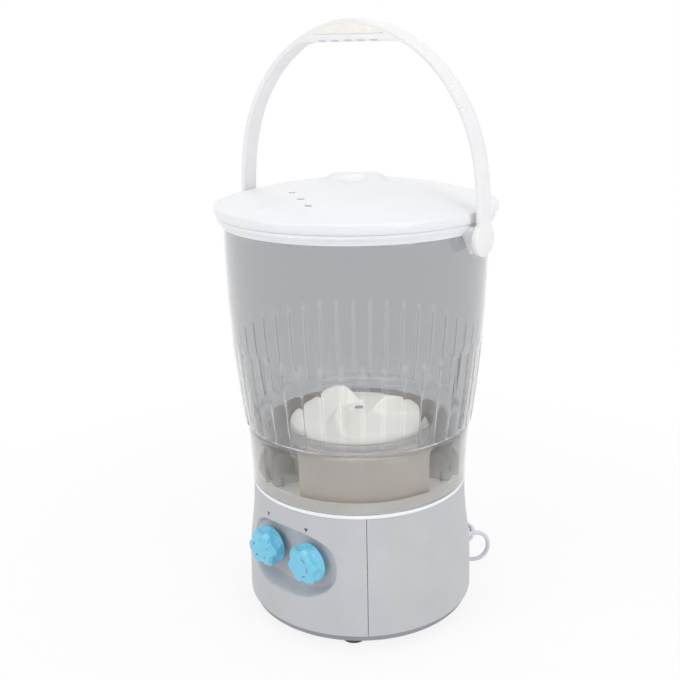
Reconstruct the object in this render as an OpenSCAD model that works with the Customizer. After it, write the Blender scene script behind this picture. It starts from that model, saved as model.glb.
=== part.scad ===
// Mini washing machine: a translucent bucket tub with a bail handle and a lift-off lid, on a
// round base that holds the motor, the belt drive to the pulsator, a timer and a selector.
// The front, with the two knobs, faces -Y. The handle pivots lie on the X axis.
// The origin is on the floor, on the axis of the tub.

/* [Base] */
// Outer radius of the base at its bottom edge
base_r = 139; // [136:0.5:142]
// Height of the base shell from its bottom edge to its top flange
base_h = 144.6; // [140:0.2:160]
// Radius that the side loses to draft over its full height
base_draft = 2.2; // [1:0.1:3]
// Radius that the side loses at the shoulder
shoulder_in = 6.6; // [5:0.2:8]
// Height of the shoulder's lower end above the bottom edge of the shell
shoulder_low = 40; // [30:1:45]
// Length of the shoulder's sweep
shoulder_len = 90; // [80:1:100]
// Wall of the base shell and of the panel
base_wall = 3; // [2.4:0.1:3.4]
// Height of the rubber feet
foot_h = 12; // [9:0.5:15]
// Radius of a rubber foot
foot_r = 15; // [12:0.5:18]
// Distance from the base's edge to the middle of a foot
foot_inset = 29; // [27:1:35]
// Angle from the front to the first foot
foot_angle = 34; // [30:1:40]
// Visible height of the bottom cover's lip
lip_h = 8; // [6:0.5:10]
// Height of the white trim ring
ring_h = 5.1; // [4:0.1:7]

/* [Control panel] */
// Half of the angle that the front panel spans
panel_half_angle = 45; // [42:1:46]
// Angle by which the front is turned out of square with the handle's pivots
front_turn = -3.2; // [-5:0.1:5]
// Width of the oval pocket
pocket_w = 138; // [134:0.5:142]
// Height of the oval pocket
pocket_h = 85; // [80:0.5:88]
// Height of the pocket's centre above the bottom edge of the shell
pocket_up = 82.5; // [80:0.5:85]
// Distance between the two knob axes
knob_pitch = 65; // [63:0.5:67]
// Height of the knob axes above the pocket's centre
knob_up = 1; // [-2:0.5:4]
// Outer diameter of a knob
knob_d = 47; // [43:0.5:49]
// Length of a knob along its axis
knob_len = 18; // [16:0.5:20]
// Distance between a knob's back and the pocket's floor
knob_gap = 8; // [7:0.5:10]
// Distance by which the knobs' front faces stand out past the base's edge
knob_proud = 2; // [0:0.5:5]
// Diameter of the knob shafts
knob_shaft_d = 6; // [5:0.5:8]

/* [Tub] */
// Height of the skirt, from the trim ring to the ledge under the flutes
skirt_h = 76; // [72:1:82]
// Height of the tub wall above the ledge
tub_wall_h = 233.5; // [220:0.5:250]
// Outer radius of the tub at its rim
tub_r = 152.5; // [151:0.5:154]
// Distance from the skirt to the tub's wall just above the ledge
ledge_out = 6.5; // [5.6:0.2:7.8]
// Wall of the tub
tub_wall = 2.4; // [2:0.1:3]
// Number of flutes round the tub
flutes = 40; // [32:1:44]
// Depth of the grooves between the flutes
flute_depth = 1.7; // [1.2:0.1:2.2]
// Height of the fluted band
flute_h = 106; // [90:1:115]
// Depth of the recess that the pulsator runs in
recess_depth = 16; // [13:0.5:18]
// Thickness of the tub floor
floor_t = 3; // [2.5:0.1:4]

/* [Rim and lid] */
// Height of the white rim band
band_h = 11.3; // [10:0.1:14]
// Width by which the rim band flares outwards
band_flare = 6; // [5:0.5:7]
// Width of an ear that carries a handle pivot
ear_w = 28; // [24:1:29]
// Distance from the tub's rim to the lid's edge
lid_overhang = 9.5; // [8:0.5:10]
// Height of the lid's rounded rim
lid_rim_h = 12; // [10:0.5:14]
// Rise of the lid's dome above its rim
lid_dome = 23; // [16:1:28]
// Thickness of the lid
lid_t = 2.5; // [2:0.1:3]
// Radius of the raised grip at the middle of the lid
lid_grip_r = 44; // [38:1:52]
// Height of the raised grip above the dome
lid_grip_h = 8; // [5:0.5:12]
// Gap between the handle and the bottom of the notches in the lid's edge
notch_gap = 10; // [9:0.5:12]

/* [Handle] */
// Distance from the tub's rim to the handle's outer face at its pivots
handle_reach = 20.5; // [19.5:0.5:21.5]
// Height of the handle above its pivots
handle_h = 225; // [215:1:235]
// Width of the handle's band
handle_w = 21.4; // [18:0.2:22]
// Thickness of the handle's band
handle_t = 6; // [5:0.2:6.4]
// Height of the pivots below the top of the rim band
pivot_down = 15.5; // [14:0.5:17]
// Radius of the round bosses at the pivots
boss_r = 18.5; // [16:0.5:19]
// Length of the grip along the handle
grip_len = 128; // [120:1:134]
// Length of the soft insert in the grip
insert_len = 96; // [80:1:98]
// Height of the grip at its middle
grip_h = 24.5; // [22:0.5:28]
// Thickness of the bar under the grip's insert
grip_bar_t = 8; // [6:0.5:10]
// Diameter of the pivot pins
pivot_d = 8; // [6:0.5:9]

/* [Pulsator] */
// Distance from the skirt to the pulsator's edge
pulsator_inset = 44.6; // [44:0.2:47]
// Height of the pulsator's side
pulsator_side = 16; // [13:0.5:19]
// Number of fins
fins = 3; // [3:1:4]
// Height of a fin above the pulsator's crown
fin_h = 18; // [12:0.5:22]
// Diameter of the pulsator shaft
shaft_d = 10; // [8:0.5:12]

/* [Drive] */
// Turns of the motor for one turn of the pulsator
drive_ratio = 4; // [3.5:0.25:4.5]
// Gap between the pitch circles of the two pulleys
pulley_gap = 9.25; // [8:0.25:12]
// Distance from the base's edge to the motor's axis
motor_inset = 61; // [59:0.5:63]
// Angle from the front to the motor
motor_angle = 142; // [138:1:146]
// Outer radius of the motor
motor_r = 40; // [36:0.5:42]
// Height of the motor's stator stack
stator_h = 30; // [24:1:34]
// Width of the drive belt
belt_w = 8; // [6:0.5:9]

/* [Drain and cord] */
// Outer radius of the drain spout
spout_r = 11; // [10:0.5:12.5]
// Angle from the front to the drain spout
spout_angle = 205; // [200:1:212]
// Height of the drain spout's axis above the floor
spout_z = 50; // [48:0.5:56]
// Angle from the front to the cord's strain relief
cord_angle = 150; // [148:1:152]
// Diameter of the power cord
cord_d = 5.6; // [5:0.1:6]

/* [Hidden] */

// Clearances between pieces
fit_gap = 0.3;
run_gap = 0.05;
seat_gap = 0.2;
eps = 0.01;
$fn = 96;

// Levels, from the floor upwards
z_cover = foot_h;
z_shell = z_cover + lip_h;
z_ring = z_shell + base_h;
z_tub = z_ring + ring_h;
z_ledge = z_tub + skirt_h;
z_band = z_ledge + tub_wall_h;
z_band_top = z_band + band_h;
z_lid = z_band_top + seat_gap;
z_pivot = z_band_top - pivot_down;
z_floor = z_ledge - 7;
z_recess = z_floor - recess_depth;
z_tower = z_recess - floor_t;
z_plate = z_ring - 14;
z_pulley = z_shell + 34;
pulley_h = 14;

// Radii that follow from the driving sizes
cover_t = 3;
cover_r = base_r - 4;
base_top_r = base_r - base_draft - shoulder_in;
skirt_r = base_top_r + 0.9;
deck_r = base_top_r - 3.2;
ledge_r = skirt_r + ledge_out;
pulsator_r = skirt_r - pulsator_inset;
recess_r = pulsator_r + 3.5;
foot_circle_r = base_r - foot_inset;
knob_front = base_r + knob_proud;
motor_dist = base_r - motor_inset;
small_pulley_r = (motor_dist - pulley_gap) / (drive_ratio + 1);
big_pulley_r = drive_ratio * small_pulley_r;
tower_r = recess_r - 6;
tub_screw_r = (recess_r + deck_r) / 2;
flange_w = 12;
lid_r = tub_r + lid_overhang;
handle_half_w = tub_r + handle_reach;
handle_in = handle_half_w - handle_t;

// A point at radius r and angle a from the front, at height z
function polar(r, a, z = 0) = [r * sin(a), -r * cos(a), z];

// A smooth step from 0 to 1 as t goes from 0 to 1
function ease(t) = 0.5 - 0.5 * cos(180 * min(1, max(0, t)));

// Outer radius of the base at height h above the bottom edge of the shell
function base_rad(h) = base_r - base_draft * h / base_h - shoulder_in * ease((h - shoulder_low) / shoulder_len);

// Outer radius of the tub over its flutes at height z
function tub_rad(z) = tub_r - (tub_r - ledge_r) * pow(max(0, z_band - z) / (z_band - z_ledge), 2.2);

// Outer radius of the tub in the grooves between the flutes
function groove_rad(z) = tub_rad(z) - flute_depth * (1 - ease((z - z_ledge - flute_h + 22) / 22));

// Points of the arch, from one pivot over the top to the other: its sides run nearly straight and
// its top is narrow, so the width and the rise follow different powers
arch_w_power = 1.73;
arch_h_power = 2.77;
arch_steps = 40;
function arch(w, h) = [for (i = [0:arch_steps]) let(a = 180 * i / arch_steps, c = cos(a), s = sin(a))
    [w * sign(c) * pow(abs(c), 2 / arch_w_power), h * pow(s, 2 / arch_h_power)]];

// Turns its children about the tub's axis, from the front to angle a, pointing outwards
module at_angle(a, r = 0, z = 0) {
    translate(polar(r, a, z)) rotate([0, 0, a - 90]) children();
}

// A ring between two radii
module ring(r_out, r_in, h) {
    difference() {
        cylinder(r = r_out, h = h);
        translate([0, 0, -1]) cylinder(r = r_in, h = h + 2);
    }
}

// A pan-head screw that points up, with the underside of its head at z = 0
module screw_up(d, len, head_d, head_h) {
    translate([0, 0, -head_h]) cylinder(d = head_d, h = head_h, $fn = 32);
    translate([0, 0, -eps]) cylinder(d = d, h = len, $fn = 24);
}

// Fasteners of the base
cover_screw_d = 3.2;
cover_screw_r = base_r - 18;
cover_screw_len = 16;
cover_screw_angles = [62, 118, 242, 298];
boss_d = 10;
boss_top = z_shell + 44;
foot_angles = [foot_angle, 180 - foot_angle, 180 + foot_angle, 360 - foot_angle];

// Wedge that separates the front panel from the rest of the shell
module panel_wedge(half_angle, grow = 0) {
    far = base_r + 40;
    rotate([0, 0, front_turn]) translate([0, 0, z_shell - 1])
        linear_extrude(base_h + 2)
            polygon([[0, grow], polar2(far, half_angle, grow), [0, -far], polar2(far, -half_angle, -grow)]);
}
function polar2(r, a, grow) = [r * sin(a) + grow * cos(a), -r * cos(a) + abs(grow) * sin(abs(a))];

// Profile of the shell: a flared wall with an inward flange at its top
shell_steps = 16;
shell_profile = concat(
    [for (i = [0:shell_steps]) let(h = base_h * i / shell_steps) [base_rad(h), z_shell + h]],
    [[deck_r - flange_w, z_ring], [deck_r - flange_w, z_ring - base_wall]],
    [for (i = [shell_steps:-1:0]) let(h = min(base_h - base_wall, base_h * i / shell_steps))
        [base_rad(h) - base_wall, z_shell + h]]);

// Places of what passes through the shell's rear wall
spout_wall = base_rad(spout_z - z_shell);
cord_z = z_shell + 25;
cord_wall = base_rad(cord_z - z_shell);
gland_neck_r = 6;

module base_shell() color("#c3c4ca") difference() {
    union() {
        difference() {
            rotate_extrude() polygon(shell_profile);
            panel_wedge(panel_half_angle, seat_gap);
        }
        for (a = cover_screw_angles)
            intersection() {
                union() {
                    at_angle(a, cover_screw_r, z_cover + cover_t)
                        cylinder(d = boss_d, h = boss_top - z_cover - cover_t, $fn = 32);
                    at_angle(a, cover_screw_r, z_shell + 12) translate([0, -1.2, 0])
                        cube([base_r - cover_screw_r - base_wall, 2.4, boss_top - z_shell - 15]);
                }
                cylinder(r = base_rad(boss_top - z_shell) - 1, h = z_ring);
            }
    }
    for (a = cover_screw_angles)
        at_angle(a, cover_screw_r, z_cover) cylinder(d = cover_screw_d - 2 * run_gap,
            h = cover_screw_len + 4, $fn = 24);
    at_angle(spout_angle, spout_wall - 12, spout_z) rotate([0, 90, 0])
        cylinder(r = spout_r - 2 + seat_gap, h = 24, $fn = 48);
    at_angle(cord_angle, cord_wall - 12, cord_z) rotate([0, 90, 0])
        cylinder(r = gland_neck_r + run_gap, h = 24, $fn = 48);
}

// The front panel and its oval pocket
z_pocket = z_shell + pocket_up;
z_knob = z_pocket + knob_up;
knob_back_y = -(knob_front - knob_len);
pocket_floor_y = knob_back_y + knob_gap;
pocket_wall = 2.4;
oval_power = 2.4;
oval_steps = 72;
module oval(w, h, len) {
    rotate([90, 0, 0]) linear_extrude(len)
        polygon([for (i = [0:oval_steps - 1]) let(a = 360 * i / oval_steps, c = cos(a), s = sin(a))
            [w / 2 * sign(c) * pow(abs(c), 2 / oval_power), h / 2 * sign(s) * pow(abs(s), 2 / oval_power)]]);
}
// Places a child at x and y of the turned front, at the height of the knob axes
module front_at(x, y) rotate([0, 0, front_turn]) translate([x, y, z_knob]) children();
module control_panel() color("#c9cad0") difference() {
    union() {
        intersection() {
            rotate_extrude() polygon(shell_profile);
            panel_wedge(panel_half_angle);
        }
        intersection() {
            rotate([0, 0, front_turn]) translate([0, pocket_floor_y + pocket_wall, z_pocket])
                oval(pocket_w + 2 * pocket_wall, pocket_h + 2 * pocket_wall, knob_front);
            rotate_extrude() polygon(concat([[0, z_shell]],
                [for (i = [0:shell_steps]) let(h = base_h * i / shell_steps) [base_rad(h) - eps, z_shell + h]],
                [[0, z_ring]]));
        }
    }
    rotate([0, 0, front_turn]) translate([0, pocket_floor_y, z_pocket]) oval(pocket_w, pocket_h, knob_front);
    for (s = [-1, 1])
        front_at(s * knob_pitch / 2, pocket_floor_y + pocket_wall + 1) rotate([90, 0, 0])
            cylinder(d = knob_shaft_d + 2, h = pocket_wall + 2, $fn = 32);
}

module bottom_cover() color("#8f8f98") difference() {
    union() {
        translate([0, 0, z_cover]) cylinder(r = cover_r, h = cover_t);
        translate([0, 0, z_cover]) ring(cover_r, cover_r - 2.5, lip_h + 6);
    }
    for (a = cover_screw_angles) {
        at_angle(a, cover_screw_r, z_cover - 1) cylinder(d = 3.6, h = 8, $fn = 24);
        at_angle(a, cover_screw_r, z_cover - 1) cylinder(d = 7, h = 2.6, $fn = 24);
    }
    for (a = foot_angles)
        at_angle(a, foot_circle_r, z_cover - 1) cylinder(d = 3.6, h = 8, $fn = 24);
}

module cover_screws() color("#9a9ca0") for (a = cover_screw_angles)
    at_angle(a, cover_screw_r, z_cover + 1.6) screw_up(cover_screw_d - 0.2, cover_screw_len, 6.4, 1.4);

foot_screw_head = 2.4;
module rubber_feet() color("#3c3d42") for (a = foot_angles)
    at_angle(a, foot_circle_r) difference() {
        rotate_extrude($fn = 48) polygon([[0, 0], [foot_r - 3, 0], [foot_r - 1, 1.2], [foot_r, 3.5],
            [foot_r - 1, foot_h], [0, foot_h]]);
        translate([0, 0, -1]) cylinder(d = 9, h = 6, $fn = 32);
        cylinder(d = 4, h = foot_h + 1, $fn = 24);
    }
module foot_screws() color("#9a9ca0") for (a = foot_angles)
    at_angle(a, foot_circle_r, 5) screw_up(3.4, foot_h - 5 + cover_t + 3, 8, foot_screw_head);

module trim_ring() color("#eef0f4") translate([0, 0, z_ring])
    ring(skirt_r - 0.4, deck_r + seat_gap, ring_h);

// The deck closes the base, centres the tub's skirt and carries the tub on a tower
deck_t = 3.3;
z_deck = z_tub;
collar_h = 12;
plate_boss_r = deck_r - 27;
plate_boss_angles = [42, 90, 180, 270, 318];
tub_screw_angles = [-18, 102, 222];
hub_r = 13;
housing_r = 14;
housing_hole_r = housing_r + 1;
pipe_r = 10;
pipe_wall = 1.8;
pipe_dist = deck_r - flange_w - pipe_r - 1;
module base_deck() color("#dcdad2") difference() {
    union() {
        rotate_extrude() polygon([[tower_r - 7, z_deck], [tower_r - 3, z_tower - 3],
            [housing_hole_r, z_tower - 3],
            [housing_hole_r, z_tower], [tower_r, z_tower], [tower_r - 4, z_deck + deck_t],
            [deck_r - 3, z_deck + deck_t], [deck_r - 3, z_deck + collar_h], [deck_r, z_deck + collar_h],
            [deck_r, z_ring], [deck_r - 9, z_ring], [deck_r - 9, z_deck]]);
        for (a = plate_boss_angles)
            at_angle(a, plate_boss_r, z_plate + plate_t)
                cylinder(d = 12, h = z_deck - z_plate - plate_t + 1, $fn = 32);
    }
    for (a = plate_boss_angles)
        at_angle(a, plate_boss_r, z_plate) cylinder(d = 3.4, h = plate_screw_len + 1, $fn = 24);
    for (a = tub_screw_angles)
        at_angle(a, tub_screw_r, z_deck - 1) cylinder(d = 4, h = deck_t + 2, $fn = 24);
    at_angle(spout_angle, pipe_dist, z_deck - 1) cylinder(r = pipe_r + 1, h = deck_t + 2, $fn = 48);
}

// One flute's section is a shallow bow, and the band is a prism that widens upwards
bow_steps = 6;
function flute_section(r_crest) = [for (i = [0:flutes - 1]) for (j = [0:bow_steps - 1])
    let(t = j / bow_steps, r = r_crest - (flute_depth + 0.3) * pow(2 * t - 1, 2))
    polar2(r, flute_start + (i + t) * 360 / flutes, 0)];
flute_start = -2.2 - 38.4;
module flute_band(z_a, z_b, r_a, r_b) {
    translate([0, 0, z_a]) linear_extrude(z_b - z_a, scale = r_b / r_a) polygon(flute_section(r_a));
}

tub_steps = 22;
drain_neck_r = pipe_r - pipe_wall - seat_gap;
z_web = z_deck + collar_h + 2;
web_t = 2.5;
tub_screw_d = 3.1;
tub_screw_len = 15;
module wash_tub() color("#b4b8be", 0.55) {
    z_mid = z_ledge + 0.415 * flute_h;
    z_top = z_ledge + flute_h;
    difference() {
        union() {
            rotate_extrude() polygon(concat(
                [[0, z_tub], [skirt_r, z_tub], [skirt_r, z_tub + 15], [skirt_r + 1.2, z_tub + 42],
                    [skirt_r + 3.2, z_ledge - 13], [groove_rad(z_ledge) - 1, z_ledge]],
                [for (i = [0:tub_steps]) let(z = z_ledge + tub_wall_h * i / tub_steps) [groove_rad(z), z]],
                [[tub_r - 1.2, z_band], [tub_r - 1.2, z_band_top - 3], [0, z_band_top - 3]]));
            flute_band(z_ledge, z_mid, tub_rad(z_ledge), tub_rad(z_mid));
            flute_band(z_mid, z_top, tub_rad(z_mid), tub_rad(z_top) - 0.4);
        }
        rotate_extrude() polygon(concat(
            [[0, z_recess], [recess_r - 2, z_recess], [recess_r, z_recess + 2], [recess_r, z_floor],
                [groove_rad(z_ledge) - tub_wall - 6, z_floor],
                    [groove_rad(z_ledge) - tub_wall - 1, z_floor + 4]],
            [for (i = [1:tub_steps]) let(z = z_ledge + tub_wall_h * i / tub_steps)
                [groove_rad(z) - tub_wall, z]],
            [[tub_r - tub_wall, z_band + band_h], [0, z_band + band_h]]));
        rotate_extrude() polygon([[0, z_tub - 1], [skirt_r - tub_wall, z_tub - 1],
            [skirt_r - tub_wall, z_tub + 15],
            [skirt_r + 1.2 - tub_wall, z_tub + 42], [skirt_r + 3.2 - tub_wall, z_floor - floor_t - 1],
            [skirt_r + 2.4 - tub_wall, z_floor - floor_t], [recess_r + tub_wall, z_floor - floor_t],
            [recess_r + tub_wall, z_recess], [recess_r, z_tower], [0, z_tower]]);
        translate([0, 0, z_tower - 1]) cylinder(r = hub_r + run_gap, h = floor_t + 2);
        at_angle(spout_angle, pipe_dist, z_floor - floor_t - 1)
            cylinder(r = drain_neck_r - 1.6, h = floor_t + 2, $fn = 48);
    }
    for (a = tub_screw_angles) difference() {
        union() {
            at_angle(a) rotate([90, 0, 0]) translate([0, 0, -web_t / 2]) linear_extrude(web_t)
                polygon([[tower_r + 1, z_web], [skirt_r - tub_wall + 0.5, z_web],
                    [skirt_r + 1.5 - tub_wall + 0.5, z_tub + 42], [skirt_r + 2, z_floor - floor_t + 0.5],
                    [recess_r + 1, z_floor - floor_t + 0.5], [recess_r + 1, z_tower + 0.5],
                        [tower_r + 1, z_tower + 0.5]]);
            at_angle(a, tub_screw_r, z_deck + deck_t)
                cylinder(d = 10, h = z_floor - z_deck - deck_t - floor_t + 0.5, $fn = 32);
        }
        at_angle(a, tub_screw_r, z_deck) cylinder(d = tub_screw_d + 2 * run_gap, h = tub_screw_len + 1,
            $fn = 24);
    }
    difference() {
        at_angle(spout_angle, pipe_dist, z_floor - floor_t - 14) cylinder(r = drain_neck_r, h = 14.5, $fn = 48);
        at_angle(spout_angle, pipe_dist, z_floor - floor_t - 15)
            cylinder(r = drain_neck_r - 1.6, h = 17, $fn = 48);
    }
}
module tub_screws() color("#9a9ca0") for (a = tub_screw_angles)
    at_angle(a, tub_screw_r, z_deck) screw_up(tub_screw_d, tub_screw_len, 8, 2);

// The rim band clips over the tub's edge and carries the handle's ears
ear_end = handle_in - 1.5;
boss_in = handle_in - 1;
ear_root = 10;
ear_drop = 15;
band_in_r = tub_r - 1.2 + fit_gap;
ear_top = z_band_top - 2;
ridge_r = 0.5;
function band_point(t) = [tub_r + 1.4 + (band_flare - 1.4) * t, z_band + 1.5 + (band_h - 4) * t];
module rim_band() color("#f2f3f5") difference() {
    union() {
        rotate_extrude() polygon(concat([[band_in_r, z_band], [tub_r + 0.6, z_band], band_point(0)],
            [for (t = [0.25, 0.5, 0.75]) each [band_point(t - 0.07), band_point(t) + [ridge_r, -ridge_r],
                band_point(t + 0.07)]],
            [band_point(1), [tub_r + band_flare, z_band_top], [tub_r - 4, z_band_top],
                [tub_r - 4, z_band_top - 2.6], [band_in_r, z_band_top - 2.6]]));
        for (s = [0, 180]) rotate([0, 0, s]) intersection() {
            translate([0, ear_w / 2, 0]) rotate([90, 0, 0]) linear_extrude(ear_w)
                polygon([[tub_r, z_band - 2], [ear_end - 4, z_pivot - ear_drop],
                    [ear_end, z_pivot - ear_drop + 2], [ear_end, ear_top - 2],
                    [ear_end - 2, ear_top], [tub_r + 1, ear_top]]);
            union() {
                translate([tub_r - ear_root, 0, z_pivot]) rotate([0, 90, 0])
                    cylinder(r = ear_w / 2 + 3, h = handle_reach + ear_root, $fn = 64);
                translate([tub_r - ear_root, -ear_w / 2, z_pivot])
                    cube([handle_reach + ear_root, ear_w, pivot_down]);
            }
        }
    }
    translate([-handle_half_w, 0, z_pivot]) rotate([0, 90, 0])
        cylinder(d = pivot_d, h = 2 * handle_half_w, $fn = 48);
    translate([0, 0, z_pivot - 30]) cylinder(r = tub_r + fit_gap, h = z_band - z_pivot + 30);
}

// A pivot pin is pressed into the ear, and the handle's boss turns on it
pin_head_t = 2;
pin_head_d = pivot_d + 6;
boss_t = 7;
boss_edge = 1.2;
pin_in = tub_r + 1;
pin_len = boss_in + boss_t - pin_head_t - pin_in - 0.8;
module pivot_pins() color("#b8bbc0") for (s = [0, 180]) rotate([0, 0, s])
    translate([pin_in, 0, z_pivot]) rotate([0, 90, 0]) {
        cylinder(d = pivot_d, h = pin_len + eps, $fn = 48);
        translate([0, 0, pin_len]) cylinder(d = pin_head_d, h = pin_head_t, $fn = 48);
    }

// Profile of the lid's upper surface
function lid_dome_z(r) = z_lid + lid_rim_h + lid_dome * (1 - pow(r / (lid_r - 4), 2));
function lid_top(r) = lid_dome_z(r) + lid_grip_h * (1 - ease((r - lid_grip_r + 24) / 24));
scoop_r = 26;
scoop_y = 37;
lid_steps = 24;
lid_lip_r = tub_r - 4 - 0.8;
lid_lip_t = 2.4;
under_r = lid_lip_r - lid_lip_t - 0.5;
vents = [[-45, -43], [-27, -59], [-9, -76]];
module lid() color("#f6f7fa") difference() {
    rotate_extrude() polygon(concat(
        [[0, lid_top(0)]],
        [for (i = [1:lid_steps]) let(r = (lid_r - 4) * i / lid_steps) [r, lid_top(r)]],
        [[lid_r - 1.6, z_lid + lid_rim_h - 2], [lid_r, z_lid + lid_rim_h - 6], [lid_r, z_lid + 1.5],
            [lid_r - 1, z_lid],
            [lid_lip_r, z_lid], [lid_lip_r, z_lid - 5], [lid_lip_r - lid_lip_t, z_lid - 5]],
        [for (i = [lid_steps:-1:0]) let(r = under_r * i / lid_steps) [r, lid_dome_z(r) - lid_t]]));
    for (s = [0, 180]) rotate([0, 0, s])
        translate([handle_in - notch_gap, -ear_w / 2 - 1.5, z_lid - lid_rim_h])
            cube([handle_reach + notch_gap, ear_w + 3, 3 * lid_rim_h]);
    for (s = [-1, 1]) translate([0, s * scoop_y, lid_dome_z(scoop_y) + scoop_r - 0.6])
        sphere(r = scoop_r, $fn = 72);
    for (v = vents) translate([v[0], v[1], lid_top(norm(v)) - 8]) rotate([0, 0, 12])
        translate([-5, -1.1, 0]) cube([10, 2.2, 16]);
}

// The bail: a flat band bent over the tub, with round bosses at its ends and a D-shaped grip
grip_under = handle_h - grip_h;
module arch_solid(w, h, depth) {
    translate([0, depth / 2, z_pivot]) rotate([90, 0, 0]) linear_extrude(depth) polygon(arch(w, h));
}
module handle_bail() color("#f0f1f3") difference() {
    union() {
        difference() {
            arch_solid(handle_half_w, handle_h, handle_w);
            arch_solid(handle_in, handle_h - handle_t, handle_w + 2);
            difference() {
                arch_solid(handle_half_w + 1, handle_h + 1, handle_w - 6);
                arch_solid(handle_half_w - 1, handle_h - 1, handle_w);
            }
        }
        intersection() {
            arch_solid(handle_in + eps, handle_h - handle_t + eps, handle_w);
            difference() {
                translate([-grip_len / 2, -handle_w / 2, z_pivot + grip_under])
                    cube([grip_len, handle_w, grip_h]);
                translate([-insert_len / 2, -handle_w, z_pivot + grip_under + grip_bar_t])
                    cube([insert_len, 2 * handle_w, grip_h]);
            }
        }
        for (s = [0, 180]) rotate([0, 0, s]) translate([boss_in, 0, z_pivot]) rotate([0, 90, 0])
            rotate_extrude($fn = 64) polygon([[0, 0], [boss_r, 0], [boss_r, boss_t - boss_edge],
                [boss_r - boss_edge, boss_t], [0, boss_t]]);
    }
    for (s = [0, 180]) rotate([0, 0, s]) translate([boss_in - 1, 0, z_pivot]) rotate([0, 90, 0]) {
        cylinder(d = pivot_d + 2 * run_gap, h = boss_t + 2, $fn = 48);
        translate([0, 0, boss_t - pin_head_t - 0.1]) cylinder(d = pin_head_d + 1, h = 10, $fn = 48);
    }
}
module handle_grip_insert() color("#e4dccb") intersection() {
    arch_solid(handle_in - eps, handle_h - handle_t, handle_w - 3);
    translate([-insert_len / 2, -handle_w / 2, z_pivot + grip_under + grip_bar_t])
        cube([insert_len, handle_w, grip_h]);
}
cap_rise = 2;
pivot_cap_r = boss_r - 3;
module pivot_caps() color("#f4f5f7") for (s = [0, 180]) rotate([0, 0, s])
    translate([boss_in + boss_t, 0, z_pivot]) rotate([0, 90, 0])
        rotate_extrude($fn = 64) polygon([[0, 0], [pivot_cap_r, 0], [pivot_cap_r - 0.4, 0.6], [pivot_cap_r - 3, 1.4],
            [pivot_cap_r - 8, cap_rise - 0.3], [0, cap_rise]]);

// The pulsator, with its wave-shaped fins
z_pulsator = z_recess + 2.5;
crown = 8;
hub_top = z_pulsator + pulsator_side + crown;
function fin_z(t) = fin_h * sin(180 * pow(t, 0.7));
fin_w = 50;
fin_in = 20;
fin_out = pulsator_r - 8;
fin_steps = 14;
module fin() {
    intersection() {
        translate([0, fin_w / 2, 0]) rotate([90, 0, 0]) linear_extrude(fin_w)
            polygon(concat([[fin_in, pulsator_side - 8]],
                [for (i = [0:fin_steps]) let(t = i / fin_steps)
                    [fin_in + (fin_out - fin_in) * t, pulsator_side + crown * (1 - t) - 1 + fin_z(t)]],
                [[fin_out, pulsator_side - 8]]));
        linear_extrude(pulsator_side + crown + fin_h)
            polygon(concat([for (i = [0:fin_steps]) let(t = i / fin_steps)
                    [fin_in + (fin_out - fin_in) * t, 2 + 11 * sin(180 * t) + 10 * t]],
                [for (i = [fin_steps:-1:0]) let(t = i / fin_steps)
                    [fin_in + (fin_out - fin_in) * t, -2 - 7 * sin(180 * t) + 8 * t * t]]));
    }
}
module pulsator() color("#ebe8df") translate([0, 0, z_pulsator]) difference() {
    union() {
        rotate_extrude() polygon([[0, pulsator_side + crown], [22, pulsator_side + crown - 0.6],
            [45, pulsator_side + crown - 2.6], [pulsator_r - 18, pulsator_side + 3],
                [pulsator_r - 9, pulsator_side],
            [pulsator_r - 4, pulsator_side - 4], [pulsator_r - 1.4, 6], [pulsator_r, 2], [pulsator_r, 0],
            [pulsator_r - 3, 0], [pulsator_r - 4, 5], [pulsator_r - 8, pulsator_side - 6],
                [pulsator_r - 20, pulsator_side - 1],
            [16, pulsator_side + 2], [12, 8], [0, 8]]);
        for (i = [0:fins - 1]) rotate([0, 0, 25 + i * 360 / fins]) fin();
    }
    translate([0, 0, 1]) cylinder(d = shaft_d, h = pulsator_side + crown - 5, $fn = 48);
    cylinder(d = 4.2, h = pulsator_side + crown + fin_h, $fn = 24);
    translate([0, 0, pulsator_side + crown - 1.6]) cylinder(d = 11, h = 10, $fn = 32);
}
shaft_top = z_pulsator + pulsator_side + crown - 4 - seat_gap;
module pulsator_screw() color("#b8bbc0") translate([0, 0, hub_top - 1.6]) {
    cylinder(d = 9, h = 2.2, $fn = 32);
    translate([0, 0, -12]) cylinder(d = 4, h = 12 + eps, $fn = 24);
}

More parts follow.
